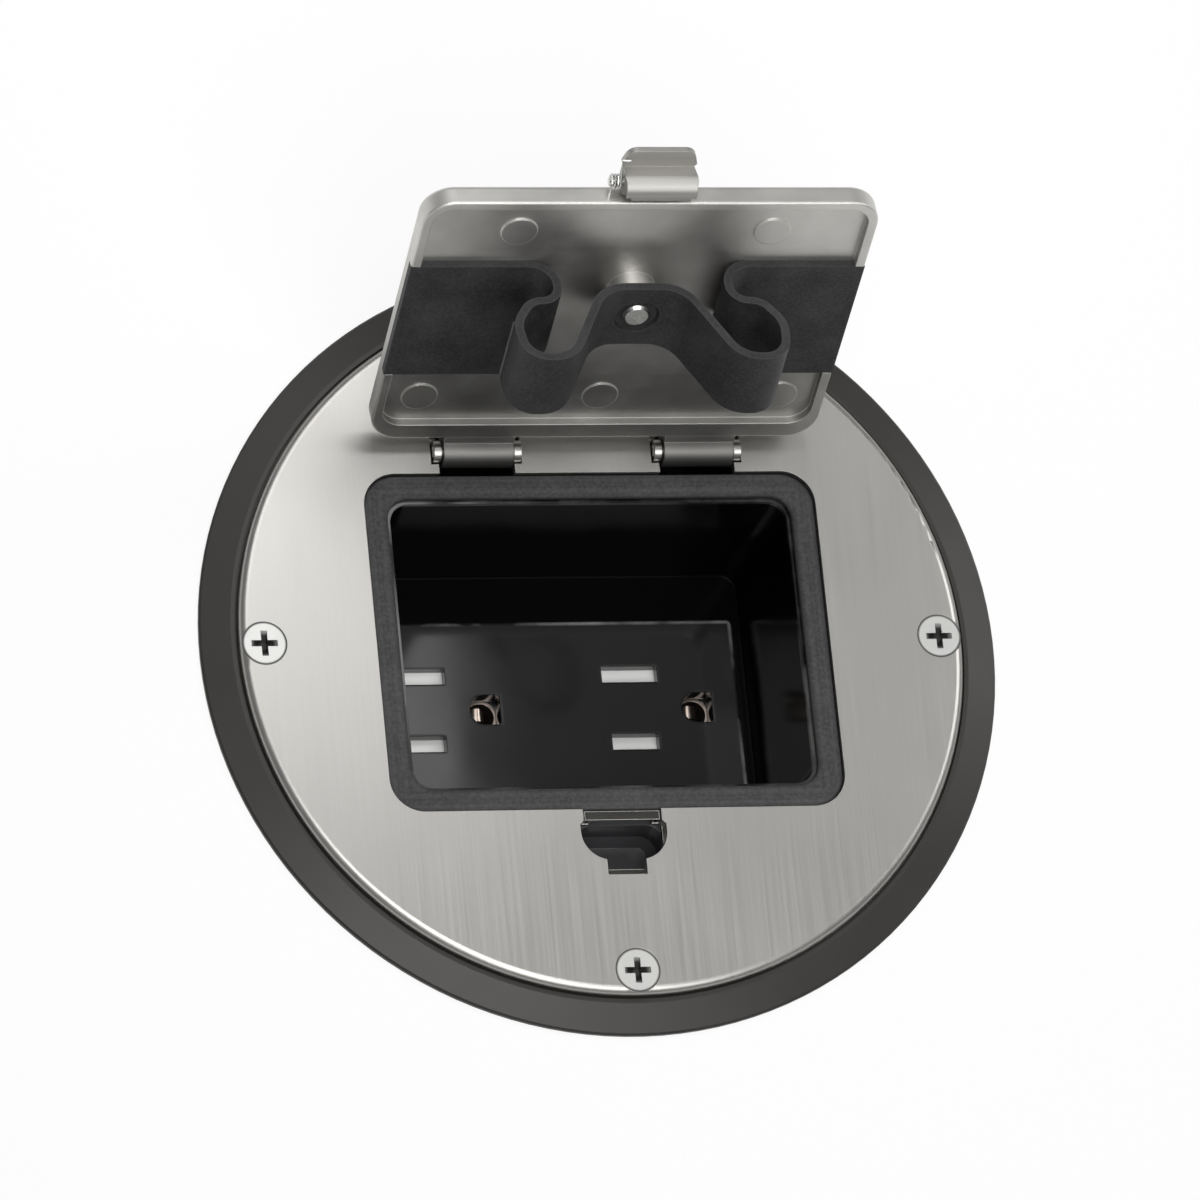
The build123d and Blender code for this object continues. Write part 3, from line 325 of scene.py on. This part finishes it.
def screw_metal(name, colour, roughness, top):
    """Plating with painted shade down in the driver's cross and round the head's rim, where it is
    also rougher.
    """
    finish = Finish(name, Metallic=1.0)
    wear = finish.noise(WEAR_SCALE, 3.0)
    side = abs(finish.along("X"))
    front = abs(finish.along("Y"))
    out = side.largest(front) - SCREW_CIRCLE
    across = side.smallest(front)
    from_middle = (out * out + across * across) ** 0.5
    inside = finish.between(from_middle, SCREW_HEAD - 0.2 * MM, SCREW_HEAD - 0.5 * MM)
    # Painted shade: the colour darkens below the head's top and near its rim.
    outside_painted_shade = finish.height(top - 0.7 * MM, top - 0.05 * MM) * (0.1 + 0.9 * inside)
    finish.set(Base_Color=finish.mix(outside_painted_shade, shade(colour, 0.12), colour))
    finish.set(Roughness=roughness + 0.25 - 0.25 * outside_painted_shade + 0.1 * wear)
    finish.bump(wear, 0.08, RELIEF, PLATED_ROUND)
    return finish


def cast_metal(name, colour, roughness):
    """The lid: brushed outside, cloudy inside, darker on its knuckles, with a painted dark
    reflection near the hinge and painted highlights on its inner edges.
    """
    finish = Finish(name)
    grain = finish.noise(1.0, 4.0, HINGE_LINES)
    cloud = finish.noise(95.0, 4.0)
    patches = finish.between(cloud, 0.3, 0.75)
    normal = finish.node("ShaderNodeTexCoord", output="Normal")
    outer = finish.between(finish.agreement(normal, LID_OUTWARD), 0.4, 0.6)
    inner = 1 - outer
    above_knuckles = finish.height(KNUCKLE_TOP - 1 * MM, KNUCKLE_TOP + 1 * MM)
    # Painted dark reflection on the inside near the hinge.
    painted_dark_reflection = inner * (1 - finish.height(HINGE.z + 20 * MM, HINGE.z + 50 * MM))
    # Painted highlight along the inside's edges, paler and less metallic.
    painted_rim_highlight = inner * above_knuckles * finish.corners(CAST_ROUND)
    texture = 0.2 * patches * inner + 0.2 * grain * outer
    tone = 0.20 + above_knuckles * (0.54 + texture - 0.34 * painted_dark_reflection) + 0.3 * painted_rim_highlight
    finish.set(Base_Color=finish.mix(tone, (0.0, 0.0, 0.0), shade(colour, 1.15)))
    finish.set(Metallic=1 - 0.5 * painted_rim_highlight)
    finish.set(Roughness=roughness - 0.08 + 0.08 * grain + 0.12 * cloud)
    finish.bump(cloud * inner + 0.15 * grain, 0.18, 0.06 * MM, CAST_ROUND)
    return finish


def sheet_metal(name, colour, roughness):
    """Sheet metal with painted shade on its flats and a painted highlight, paler and less metallic,
    on its cut edges.
    """
    finish = Finish(name)
    wear = finish.noise(1.0, 4.0, (60, 1200, 1200))
    # Painted highlight on the edges; the flats get painted shade.
    cut = finish.corners(0.25 * MM)
    finish.set(Base_Color=finish.mix(cut, shade(colour, 0.10), colour))
    finish.set(Metallic=1 - 0.7 * cut, Roughness=roughness + 0.1 * wear)
    finish.bump(wear, 0.1, RELIEF, 0.1 * MM)
    return finish


def coat(finish, *nodes):
    """Gives CAD nodes a finish."""
    for name in nodes:
        mesh = frame["nodes"][name].data
        mesh.materials.clear()
        mesh.materials.append(finish.material)


def new_piece(name, mesh, finish, body, slot, *nodes):
    """Adds a mesh that stands for CAD nodes and moves with a body."""
    piece = bpy.data.objects.new(name, mesh)
    bpy.context.scene.collection.objects.link(piece)
    mesh.materials.append(finish.material)
    mesh.shade_smooth()
    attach(piece, body)
    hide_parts(*nodes)
    return piece


def soften_edges(piece, width):
    """Rounds a piece's sharp edges."""
    bevel = piece.modifiers.new("soft edges", "BEVEL")
    bevel.width = width
    bevel.segments = 3
    bevel.limit_method = "ANGLE"
    bevel.angle_limit = math.radians(40)
    bevel.harden_normals = True


def rounded_line(points, bends, steps):
    """Points along a line whose inner corners are rounded to the given radii in steps."""
    line = [Vector(points[0])]
    for before, corner, after, radius in zip(points, points[1:], points[2:], bends):
        corner = Vector(corner)
        to_start = (Vector(before) - corner).normalized()
        to_end = (Vector(after) - corner).normalized()
        half = to_start.angle(to_end) / 2
        centre = corner + (to_start + to_end).normalized() * (radius / math.sin(half))
        start = corner + to_start * (radius / math.tan(half)) - centre
        turn = start.angle_signed(corner + to_end * (radius / math.tan(half)) - centre)
        for step in range(steps + 1):
            line.append(centre + Matrix.Rotation(-turn * step / steps, 2) @ start)
    line.append(Vector(points[-1]))
    return line


def open_lid():
    """Moves points of the closed lid to where it stands open."""
    swing = Matrix.Rotation(-OPEN_ANGLE, 4, "X")
    return Matrix.Translation(HINGE) @ swing @ Matrix.Translation(-HINGE)


class SocketBoxSizes(bpy.types.PropertyGroup):
    """Sizes of the strap and the gasket"""

    strap_thickness: FloatProperty(
        name="Strap thickness", description="Thickness of the rubber strap",
        default=1.5 * MM, unit="LENGTH", precision=5)
    strap_band: FloatProperty(
        name="Strap band", description="Width of the looped part of the strap",
        default=14.3 * MM, unit="LENGTH", precision=5)
    strap_flat: FloatProperty(
        name="Strap flat", description="Height of the lid's underside over the hinge, lid closed",
        default=1.0 * MM, unit="LENGTH", precision=5)
    dish_radius: FloatProperty(
        name="Dish radius", description="Dished place round the strap's rivet",
        default=4.3 * MM, unit="LENGTH", precision=5)
    dish_depth: FloatProperty(
        name="Dish depth", description="Depth of the dish, which leaves the rivet's seat",
        default=0.9 * MM, unit="LENGTH", precision=5)
    rivet_radius: FloatProperty(
        name="Rivet hole", description="Radius of the strap's hole for the rivet",
        default=1.85 * MM, unit="LENGTH", precision=5)
    gasket_width: FloatProperty(
        name="Gasket width", description="Width of the rubber frame in the opening",
        default=4.2 * MM, unit="LENGTH", precision=5)
    gasket_corner: FloatProperty(
        name="Gasket corner", description="Outer corner radius of the rubber frame",
        default=5.9 * MM, unit="LENGTH", precision=5)


class SocketBoxFinishes(bpy.types.PropertyGroup):
    """Colours of the finishes"""

    plate: FloatVectorProperty(
        name="Plate", description="Brushed cover plate",
        subtype="COLOR", default=(0.455, 0.447, 0.427))
    lid: FloatVectorProperty(
        name="Lid", description="Cast lid seen from below",
        subtype="COLOR", default=(0.70, 0.69, 0.66))
    nickel: FloatVectorProperty(
        name="Nickel", description="Hinge, latch and keeper",
        subtype="COLOR", default=(0.48, 0.47, 0.445))
    zinc: FloatVectorProperty(
        name="Zinc", description="Screws, pins and rivets",
        subtype="COLOR", default=(0.75, 0.75, 0.73))
    brass: FloatVectorProperty(
        name="Brass", description="Contacts and terminal screws",
        subtype="COLOR", default=(0.72, 0.50, 0.30))
    bronze: FloatVectorProperty(
        name="Bronze", description="Ground contacts",
        subtype="COLOR", default=(0.56, 0.47, 0.41))
    ring: FloatVectorProperty(
        name="Ring", description="Dark trim ring",
        subtype="COLOR", default=(0.024, 0.0225, 0.0195))
    cup: FloatVectorProperty(
        name="Cup", description="Black recess cup",
        subtype="COLOR", default=(0.002, 0.002, 0.002))
    face: FloatVectorProperty(
        name="Face", description="Black receptacle",
        subtype="COLOR", default=(0.016, 0.016, 0.017))
    # Colour of the glint painted on the rims of the cup and the receptacle
    painted_glint: FloatVectorProperty(
        name="Glint", description="Rims of the cup and the receptacle",
        subtype="COLOR", default=(0.30, 0.30, 0.29))
    shutter: FloatVectorProperty(
        name="Shutter", description="White safety shutters",
        subtype="COLOR", default=(0.93, 0.93, 0.91))
    rubber: FloatVectorProperty(
        name="Rubber", description="Gasket and seal",
        subtype="COLOR", default=(0.034, 0.034, 0.035))
    strap: FloatVectorProperty(
        name="Strap", description="Strap under the lid",
        subtype="COLOR", default=(0.019, 0.019, 0.020))
    body: FloatVectorProperty(
        name="Body", description="Drum below the floor",
        subtype="COLOR", default=(0.30, 0.30, 0.30))


class SocketBoxStage(bpy.types.PropertyGroup):
    """The camera and the light"""

    azimuth: FloatProperty(
        name="Azimuth", description="Turn of the camera about the plate",
        subtype="ANGLE", default=math.radians(-36.24))
    elevation: FloatProperty(
        name="Elevation", description="Height of the camera over the floor",
        subtype="ANGLE", default=math.radians(65.41))
    roll: FloatProperty(
        name="Roll", description="Roll of the camera",
        subtype="ANGLE", default=math.radians(33.12))
    distance: FloatProperty(
        name="Distance", description="Camera to the plate's middle",
        unit="LENGTH", default=1.74586)
    focal_pixels: FloatProperty(
        name="Focal length", description="Focal length in pixels of the photo's frame",
        subtype="PIXEL", default=10006.96, max=100000)
    middle_x: FloatProperty(
        name="Middle X", description="Plate's middle in the photo's frame",
        subtype="PIXEL", default=604.78)
    middle_y: FloatProperty(
        name="Middle Y", description="Plate's middle in the photo's frame",
        subtype="PIXEL", default=639.40)
    key_power: FloatProperty(
        name="Key", description="Power of the softbox over the hinge side",
        subtype="POWER", default=0.36)
    fill_power: FloatProperty(
        name="Fill", description="Power of the front softbox",
        subtype="POWER", default=4.0)
    side_power: FloatProperty(
        name="Side", description="Power of the right softbox",
        subtype="POWER", default=0.9)
    top_power: FloatProperty(
        name="Top", description="Power of the softbox straight above",
        subtype="POWER", default=2.0)
    sky: FloatProperty(
        name="Sky", description="Strength of the even light all round",
        default=0.23)


class SOCKETBOX_OT_cover(bpy.types.Operator):
    """Finish the cover plate, its screws and the trim ring"""

    bl_idname = "socketbox.cover"
    bl_label = "Cover Plate and Ring"

    def execute(self, context):
        look = context.scene.socketbox_finishes
        plate = brushed_metal("plate_brushed", look.plate, roughness=0.36, lines=(2600, 28, 2600),
                              spread=0.06)
        ring = moulded_plastic("ring_satin", look.ring, roughness=0.40, grain=0.12, shine=0.4)
        seal = soft_rubber("seal_rubber", look.rubber, shade(look.rubber, 1.3), roughness=0.75)
        # The screws get painted shade in their crosses and round their heads.
        screws = screw_metal("screw_zinc", shade(look.zinc, 0.80), roughness=0.40, top=PLATE_TOP)
        coat(plate, "cover_plate")
        coat(ring, "trim_ring")
        coat(seal, "plate_seal")
        coat(screws, "cover_screws")
        coat(plated_metal("stud_zinc", look.zinc, roughness=0.27), "cup_studs", "cup_nuts")
        return {"FINISHED"}


class SOCKETBOX_OT_cup(bpy.types.Operator):
    """Finish the recess cup, the latch pocket and the keeper"""

    bl_idname = "socketbox.cup"
    bl_label = "Cup and Latch Pocket"

    def execute(self, context):
        look = context.scene.socketbox_finishes
        # The cup gets a faint glint painted along the top of its walls.
        cup = glossy_plastic("cup_gloss", look.cup, shade(look.painted_glint, 0.25), roughness=0.16,
                             shine=0.07, box=(GASKET_LOW, GASKET_HIGH), width=6.0 * MM,
                             low=GASKET_LOW.z - 0.9 * MM)
        coat(cup, "recess_cup")
        pocket = moulded_plastic("pocket_gloss", shade(look.face, 3.0), roughness=0.20)
        # The keeper gets painted shade on its flats and a painted highlight on its edges.
        keeper = sheet_metal("keeper_sheet", shade(look.nickel, 1.8), roughness=0.22)
        coat(pocket, "latch_pocket")
        coat(keeper, "keeper")
        return {"FINISHED"}


class SOCKETBOX_OT_gasket(bpy.types.Operator):
    """Mould the rubber frame round the opening"""

    bl_idname = "socketbox.gasket"
    bl_label = "Lid Gasket"

    def outline(self, inset, corner, height):
        """One loop round the frame, a set distance in from its outside."""
        half_x = GASKET_HIGH.x - inset - corner
        half_y = GASKET_HIGH.y - inset - corner
        loop = []
        for quarter, (side_x, side_y) in enumerate(((1, 1), (-1, 1), (-1, -1), (1, -1))):
            for step in range(GASKET_CORNER_STEPS + 1):
                angle = (quarter + step / GASKET_CORNER_STEPS) * math.pi / 2
                loop.append((side_x * half_x + corner * math.cos(angle),
                             side_y * half_y + corner * math.sin(angle), height))
        return loop

    def execute(self, context):
        size = context.scene.socketbox_sizes
        look = context.scene.socketbox_finishes
        low = GASKET_LOW.z
        top = GASKET_HIGH.z
        width = size.gasket_width
        outside = GASKET_OUTER_ROUND
        inside = GASKET_INNER_ROUND
        section = [(0, low), (0, top - outside), (0.3 * outside, top - 0.3 * outside),
                   (outside, top), (width - inside, top),
                   (width - 0.3 * inside, top - 0.3 * inside), (width, top - inside), (width, low)]
        shape = bmesh.new()
        loops = []
        for inset, height in section:
            corner = size.gasket_corner - inset * GASKET_CORNER_SHRINK
            loops.append([shape.verts.new(point) for point in self.outline(inset, corner, height)])
        count = len(loops[0])
        for outer, inner in zip(loops, loops[1:] + loops[:1]):
            for i in range(count):
                j = (i + 1) % count
                shape.faces.new((outer[i], outer[j], inner[j], inner[i]))
        bmesh.ops.recalc_face_normals(shape, faces=shape.faces)
        mesh = bpy.data.meshes.new("gasket_frame")
        shape.to_mesh(mesh)
        shape.free()
        rubber = soft_rubber("gasket_rubber", shade(look.rubber, 0.85), shade(look.rubber, 2.0),
                             roughness=0.68, box=(GASKET_LOW, GASKET_HIGH))
        new_piece("gasket_frame", mesh, rubber, "box", "gasket_rubber", "lid_gasket")
        return {"FINISHED"}


class SOCKETBOX_OT_receptacle(bpy.types.Operator):
    """Finish the receptacle, its shutters and its contacts"""

    bl_idname = "socketbox.receptacle"
    bl_label = "Receptacle"

    def execute(self, context):
        look = context.scene.socketbox_finishes
        # The face gets a glint painted round its rim.
        face = glossy_plastic("face_gloss", look.face, look.painted_glint, roughness=0.09, shine=0.5,
                              box=(FACE_LOW, FACE_HIGH), width=0.8 * MM, low=FACE_HIGH.z - 0.8 * MM)
        base = moulded_plastic("base_matt", shade(look.face, 2.5), roughness=0.5)
        shutters = moulded_plastic("shutter_white", look.shutter, roughness=0.35)
        brass = plated_metal("contact_brass", look.brass, roughness=0.28)
        bronze = plated_metal("ground_bronze", look.bronze, roughness=0.30)
        zinc = plated_metal("yoke_zinc", shade(look.zinc, 0.9), roughness=0.34)
        steel = plated_metal("spring_steel", shade(look.zinc, 0.85), roughness=0.3)
        coat(face, "receptacle_face")
        coat(base, "receptacle_base")
        coat(shutters, "shutter_left", "shutter_right")
        coat(brass, "neutral_contact", "hot_contact", "terminal_screws")
        coat(bronze, "ground_contacts")
        coat(zinc, "yoke", "yoke_screws", "receptacle_rivets")
        coat(steel, "shutter_spring_left", "shutter_spring_right")
        return {"FINISHED"}


class SOCKETBOX_OT_lid(bpy.types.Operator):
    """Finish the lid, its hinge and its latch"""

    bl_idname = "socketbox.lid"
    bl_label = "Lid, Hinge and Latch"

    def execute(self, context):
        look = context.scene.socketbox_finishes
        hinge = brushed_metal("hinge_nickel", look.nickel, roughness=0.30, lines=(50, 900, 900))
        latch = brushed_metal("latch_nickel", shade(look.nickel, 0.88), roughness=0.50,
                              lines=HINGE_LINES)
        zinc = plated_metal("pin_zinc", look.zinc, roughness=0.25)
        # The lid gets a painted dark reflection and painted edge highlights on its inside.
        coat(cast_metal("lid_satin", shade(look.lid, 0.95), roughness=0.45), "lid")
        coat(hinge, "hinge_bracket_left", "hinge_bracket_right")
        coat(latch, "latch_lever")
        coat(zinc, "hinge_pin_left", "hinge_pin_right", "latch_pin", "latch_spring", "strap_rivet")
        return {"FINISHED"}


class SOCKETBOX_OT_strap(bpy.types.Operator):
    """Form the looped rubber strap under the lid"""

    bl_idname = "socketbox.strap"
    bl_label = "Strap"

    def execute(self, context):
        size = context.scene.socketbox_sizes
        look = context.scene.socketbox_finishes
        right = [Vector(point) for point in STRAP_LINE]
        right.append(Vector((STRAP_PAD_START + STRAP_PAD_OVERLAP, 0)))
        points = [Vector((-point.x, point.y)) for point in reversed(right)] + right
        line = rounded_line(points, STRAP_BENDS[::-1] + STRAP_BENDS, STRAP_BEND_STEPS)
        shape = bmesh.new()
        self.band(shape, line, size)
        for side in (-1, 1):
            self.pad(shape, side, size)
        bmesh.ops.recalc_face_normals(shape, faces=shape.faces)
        mesh = self.dished(shape, size)
        rubber = soft_rubber("strap_rubber", shade(look.strap, 0.85), shade(look.strap, 2.3),
                             roughness=0.60, clouds=0.6, edge=0.7 * MM)
        strap = new_piece("cord_strap", mesh, rubber, "lid", "strap_rubber", "strap")
        soften_edges(strap, STRAP_EDGE)
        return {"FINISHED"}

    def dished(self, shape, size):
        """Cuts the rivet's dish and hole, and swings the strap open with the lid."""
        face = STRAP_LINE[0][1] + size.strap_thickness / 2 / MM
        out = STRAP_FRONT - size.strap_band / 2 / MM
        top = Vector(self.spot(0, face, out, size))
        dish = bmesh.new()
        cuts = ((size.dish_radius, size.dish_radius * DISH_TAPER, size.dish_depth),
                (size.rivet_radius, size.rivet_radius, RIVET_HOLE_DEPTH))
        for radius, far, depth in cuts:
            spot = Matrix.Translation(top + Vector((0, 0, depth / 2 - CUT_CLEAR)))
            bmesh.ops.create_cone(dish, cap_ends=True, segments=DISH_SIDES, radius1=radius,
                                  radius2=far, depth=depth + 2 * CUT_CLEAR, matrix=spot)
        pieces = []
        for name, form in (("strap_blank", shape), ("strap_dish", dish)):
            mesh = bpy.data.meshes.new(name)
            form.to_mesh(mesh)
            form.free()
            pieces.append(bpy.data.objects.new(name, mesh))
            bpy.context.scene.collection.objects.link(pieces[-1])
        blank, cutter = pieces
        cut = blank.modifiers.new("dish", "BOOLEAN")
        cut.operation = "DIFFERENCE"
        cut.object = cutter
        cut.use_self = True
        ready = blank.evaluated_get(bpy.context.evaluated_depsgraph_get())
        mesh = bpy.data.meshes.new_from_object(ready)
        mesh.transform(open_lid())
        for piece in pieces:
            bpy.data.objects.remove(piece)
        return mesh

    def spot(self, along, off, out, size):
        """A point of the closed lid, in millimetres along the hinge, off the flat and outwards."""
        flat = HINGE.z + size.strap_flat - size.strap_thickness / 2
        return (along * MM, HINGE.y - out * MM, flat - off * MM)

    def band(self, shape, line, size):
        """The looped middle part, four corners to each point of its line."""
        half = size.strap_thickness / 2 / MM
        back = STRAP_FRONT - size.strap_band / MM
        rows = []
        for before, here, after in zip(line[:1] + line[:-1], line, line[1:] + line[-1:]):
            run = (after - before).normalized()
            side = Vector((-run.y, run.x)) * half
            outside = here + side
            inside = here - side
            corners = ((outside, back), (outside, STRAP_FRONT),
                       (inside, STRAP_FRONT), (inside, back))
            rows.append([shape.verts.new(self.spot(point.x, point.y, out, size))
                         for point, out in corners])
        for row, after in zip(rows, rows[1:]):
            for i in range(4):
                j = (i + 1) % 4
                shape.faces.new((row[i], row[j], after[j], after[i]))
        shape.faces.new(rows[0])
        shape.faces.new(rows[-1][::-1])

    def pad(self, shape, side, size):
        """The wide end that lies on the lid, left or right."""
        half = size.strap_thickness / 2 / MM
        corners = []
        for off in (-half, half):
            for along, out in ((STRAP_PAD_START, STRAP_BACK), (STRAP_PAD_END, STRAP_BACK),
                               (STRAP_PAD_END, STRAP_FRONT), (STRAP_PAD_START, STRAP_FRONT)):
                corners.append(shape.verts.new(self.spot(side * along, off, out, size)))
        sides = ((0, 1, 2, 3), (4, 5, 6, 7), (0, 1, 5, 4), (1, 2, 6, 5), (2, 3, 7, 6),
                 (3, 0, 4, 7))
        for loop in sides:
            shape.faces.new([corners[i] for i in loop])


class SOCKETBOX_OT_below_floor(bpy.types.Operator):
    """Finish the drum in the floor and its conduit plug"""

    bl_idname = "socketbox.below_floor"
    bl_label = "Drum Below the Floor"

    def execute(self, context):
        look = context.scene.socketbox_finishes
        drum = moulded_plastic("drum_grey", look.body, roughness=0.5, grain=0.1)
        plug = moulded_plastic("plug_grey", shade(look.body, 0.8), roughness=0.45, grain=0.1)
        coat(drum, "box_body", "conduit_hubs")
        coat(plug, "conduit_plug")
        return {"FINISHED"}


class SOCKETBOX_OT_stage(bpy.types.Operator):
    """Set up the pale floor, the soft light and the camera"""

    bl_idname = "socketbox.stage"
    bl_label = "Studio"

    def execute(self, context):
        stage = context.scene.socketbox_stage
        context.scene.view_settings.view_transform = "Standard"
        self.floor(context)
        self.sky(context, stage)
        for name, *setting in SOFTBOXES:
            self.softbox(name, getattr(stage, name + "_power"), *setting)
        self.camera(context, stage)
        return {"FINISHED"}

    def floor(self, context):
        """A wide pale disc with a hole for the drum, which shows white and keeps the shadow."""
        shape = bmesh.new()
        turns = [math.tau * i / FLOOR_SIDES for i in range(FLOOR_SIDES)]
        rings = []
        for radius in (FLOOR_HOLE, FLOOR_RADIUS):
            circle = [(radius * math.cos(turn), radius * math.sin(turn)) for turn in turns]
            rings.append([shape.verts.new((*spot, FLOOR_LEVEL)) for spot in circle])
        inner, outer = rings
        for i in range(FLOOR_SIDES):
            j = (i + 1) % FLOOR_SIDES
            shape.faces.new((inner[i], outer[i], outer[j], inner[j]))
        mesh = bpy.data.meshes.new("floor")
        shape.to_mesh(mesh)
        shape.free()
        floor = bpy.data.objects.new("floor", mesh)
        context.scene.collection.objects.link(floor)
        finish = Finish("floor_white", Base_Color=(0.85, 0.85, 0.85, 1.0), Roughness=0.9)
        rays = finish.node("ShaderNodeLightPath", output="Is Camera Ray")
        rays += finish.node("ShaderNodeLightPath", output="Is Glossy Ray")
        rays += finish.node("ShaderNodeLightPath", output="Is Transmission Ray")
        glow = finish.node("ShaderNodeEmission", inputs={"Color": (1, 1, 1, 1), "Strength": 1.0})
        plain = Value(finish, finish.shader.outputs[0])
        mixed = {0: FLOOR_GLOW * rays.smallest(1.0), 1: plain, 2: glow}
        shown = finish.node("ShaderNodeMixShader", inputs=mixed)
        finish.feed(finish.tree.nodes["Material Output"].inputs["Surface"], shown)
        mesh.materials.append(finish.material)

    def sky(self, context, stage):
        """Even white light from all round."""
        world = bpy.data.worlds.new("studio")
        world.use_nodes = True
        context.scene.world = world
        background = world.node_tree.nodes["Background"]
        background.inputs["Color"].default_value = (1, 1, 1, 1)
        background.inputs["Strength"].default_value = stage.sky

    def softbox(self, name, power, place, target, width, depth):
        """A rectangular lamp that faces a target."""
        lamp = bpy.data.lights.new(name, "AREA")
        lamp.shape = "RECTANGLE"
        lamp.size = width
        lamp.size_y = depth
        lamp.energy = power
        holder = bpy.data.objects.new(name, lamp)
        bpy.context.scene.collection.objects.link(holder)
        holder.location = place
        aim = Vector(target) - Vector(place)
        holder.rotation_euler = aim.to_track_quat("-Z", "Y").to_euler()

    def camera(self, context, stage):
        """Looks at the plate so that its middle falls where it does in the photo's frame."""
        flat = math.cos(stage.elevation)
        back = Vector((math.sin(stage.azimuth) * flat, -math.cos(stage.azimuth) * flat,
                       math.sin(stage.elevation)))
        level = (-back).cross(Vector((0, 0, 1))).normalized()
        rise = level.cross(-back)
        right = level * math.cos(stage.roll) + rise * math.sin(stage.roll)
        up = rise * math.cos(stage.roll) - level * math.sin(stage.roll)
        pixel = stage.distance / stage.focal_pixels
        aim = Vector((0, 0, PLATE_TOP))
        aim += right * (PHOTO_WIDTH / 2 - stage.middle_x) * pixel
        aim += up * (stage.middle_y - PHOTO_WIDTH / 2) * pixel
        lens = bpy.data.cameras.new("camera")
        lens.sensor_width = SENSOR
        lens.lens = stage.focal_pixels / PHOTO_WIDTH * SENSOR
        holder = bpy.data.objects.new("camera", lens)
        context.scene.collection.objects.link(holder)
        turn = Matrix((right, up, back)).transposed().to_4x4()
        holder.matrix_world = Matrix.Translation(aim + back * stage.distance) @ turn
        context.scene.camera = holder


OPERATORS = (SOCKETBOX_OT_cover, SOCKETBOX_OT_cup, SOCKETBOX_OT_gasket, SOCKETBOX_OT_receptacle,
             SOCKETBOX_OT_lid, SOCKETBOX_OT_strap, SOCKETBOX_OT_below_floor, SOCKETBOX_OT_stage)


class SOCKETBOX_PT_panel(bpy.types.Panel):
    """A button for each operator, and every setting"""

    bl_idname = "SOCKETBOX_PT_panel"
    bl_label = "Floor Socket Box"
    bl_space_type = "VIEW_3D"
    bl_region_type = "UI"
    bl_category = "Socket Box"

    def draw(self, context):
        for operator in OPERATORS:
            self.layout.operator(operator.bl_idname)
        for group in ("socketbox_sizes", "socketbox_finishes", "socketbox_stage"):
            settings = getattr(context.scene, group)
            box = self.layout.box()
            for name in settings.__annotations__:
                box.prop(settings, name)


CLASSES = (SocketBoxSizes, SocketBoxFinishes, SocketBoxStage) + OPERATORS + (SOCKETBOX_PT_panel,)


def register():
    for item in CLASSES:
        bpy.utils.register_class(item)
    bpy.types.Scene.socketbox_sizes = PointerProperty(type=SocketBoxSizes)
    bpy.types.Scene.socketbox_finishes = PointerProperty(type=SocketBoxFinishes)
    bpy.types.Scene.socketbox_stage = PointerProperty(type=SocketBoxStage)


def unregister():
    del bpy.types.Scene.socketbox_stage
    del bpy.types.Scene.socketbox_finishes
    del bpy.types.Scene.socketbox_sizes
    for item in reversed(CLASSES):
        bpy.utils.unregister_class(item)


def main():
    register()
    bpy.ops.socketbox.cover()
    bpy.ops.socketbox.cup()
    bpy.ops.socketbox.gasket()
    bpy.ops.socketbox.receptacle()
    bpy.ops.socketbox.lid()
    bpy.ops.socketbox.strap()
    bpy.ops.socketbox.below_floor()
    bpy.ops.socketbox.stage()


if __name__ == "__main__":
    main()
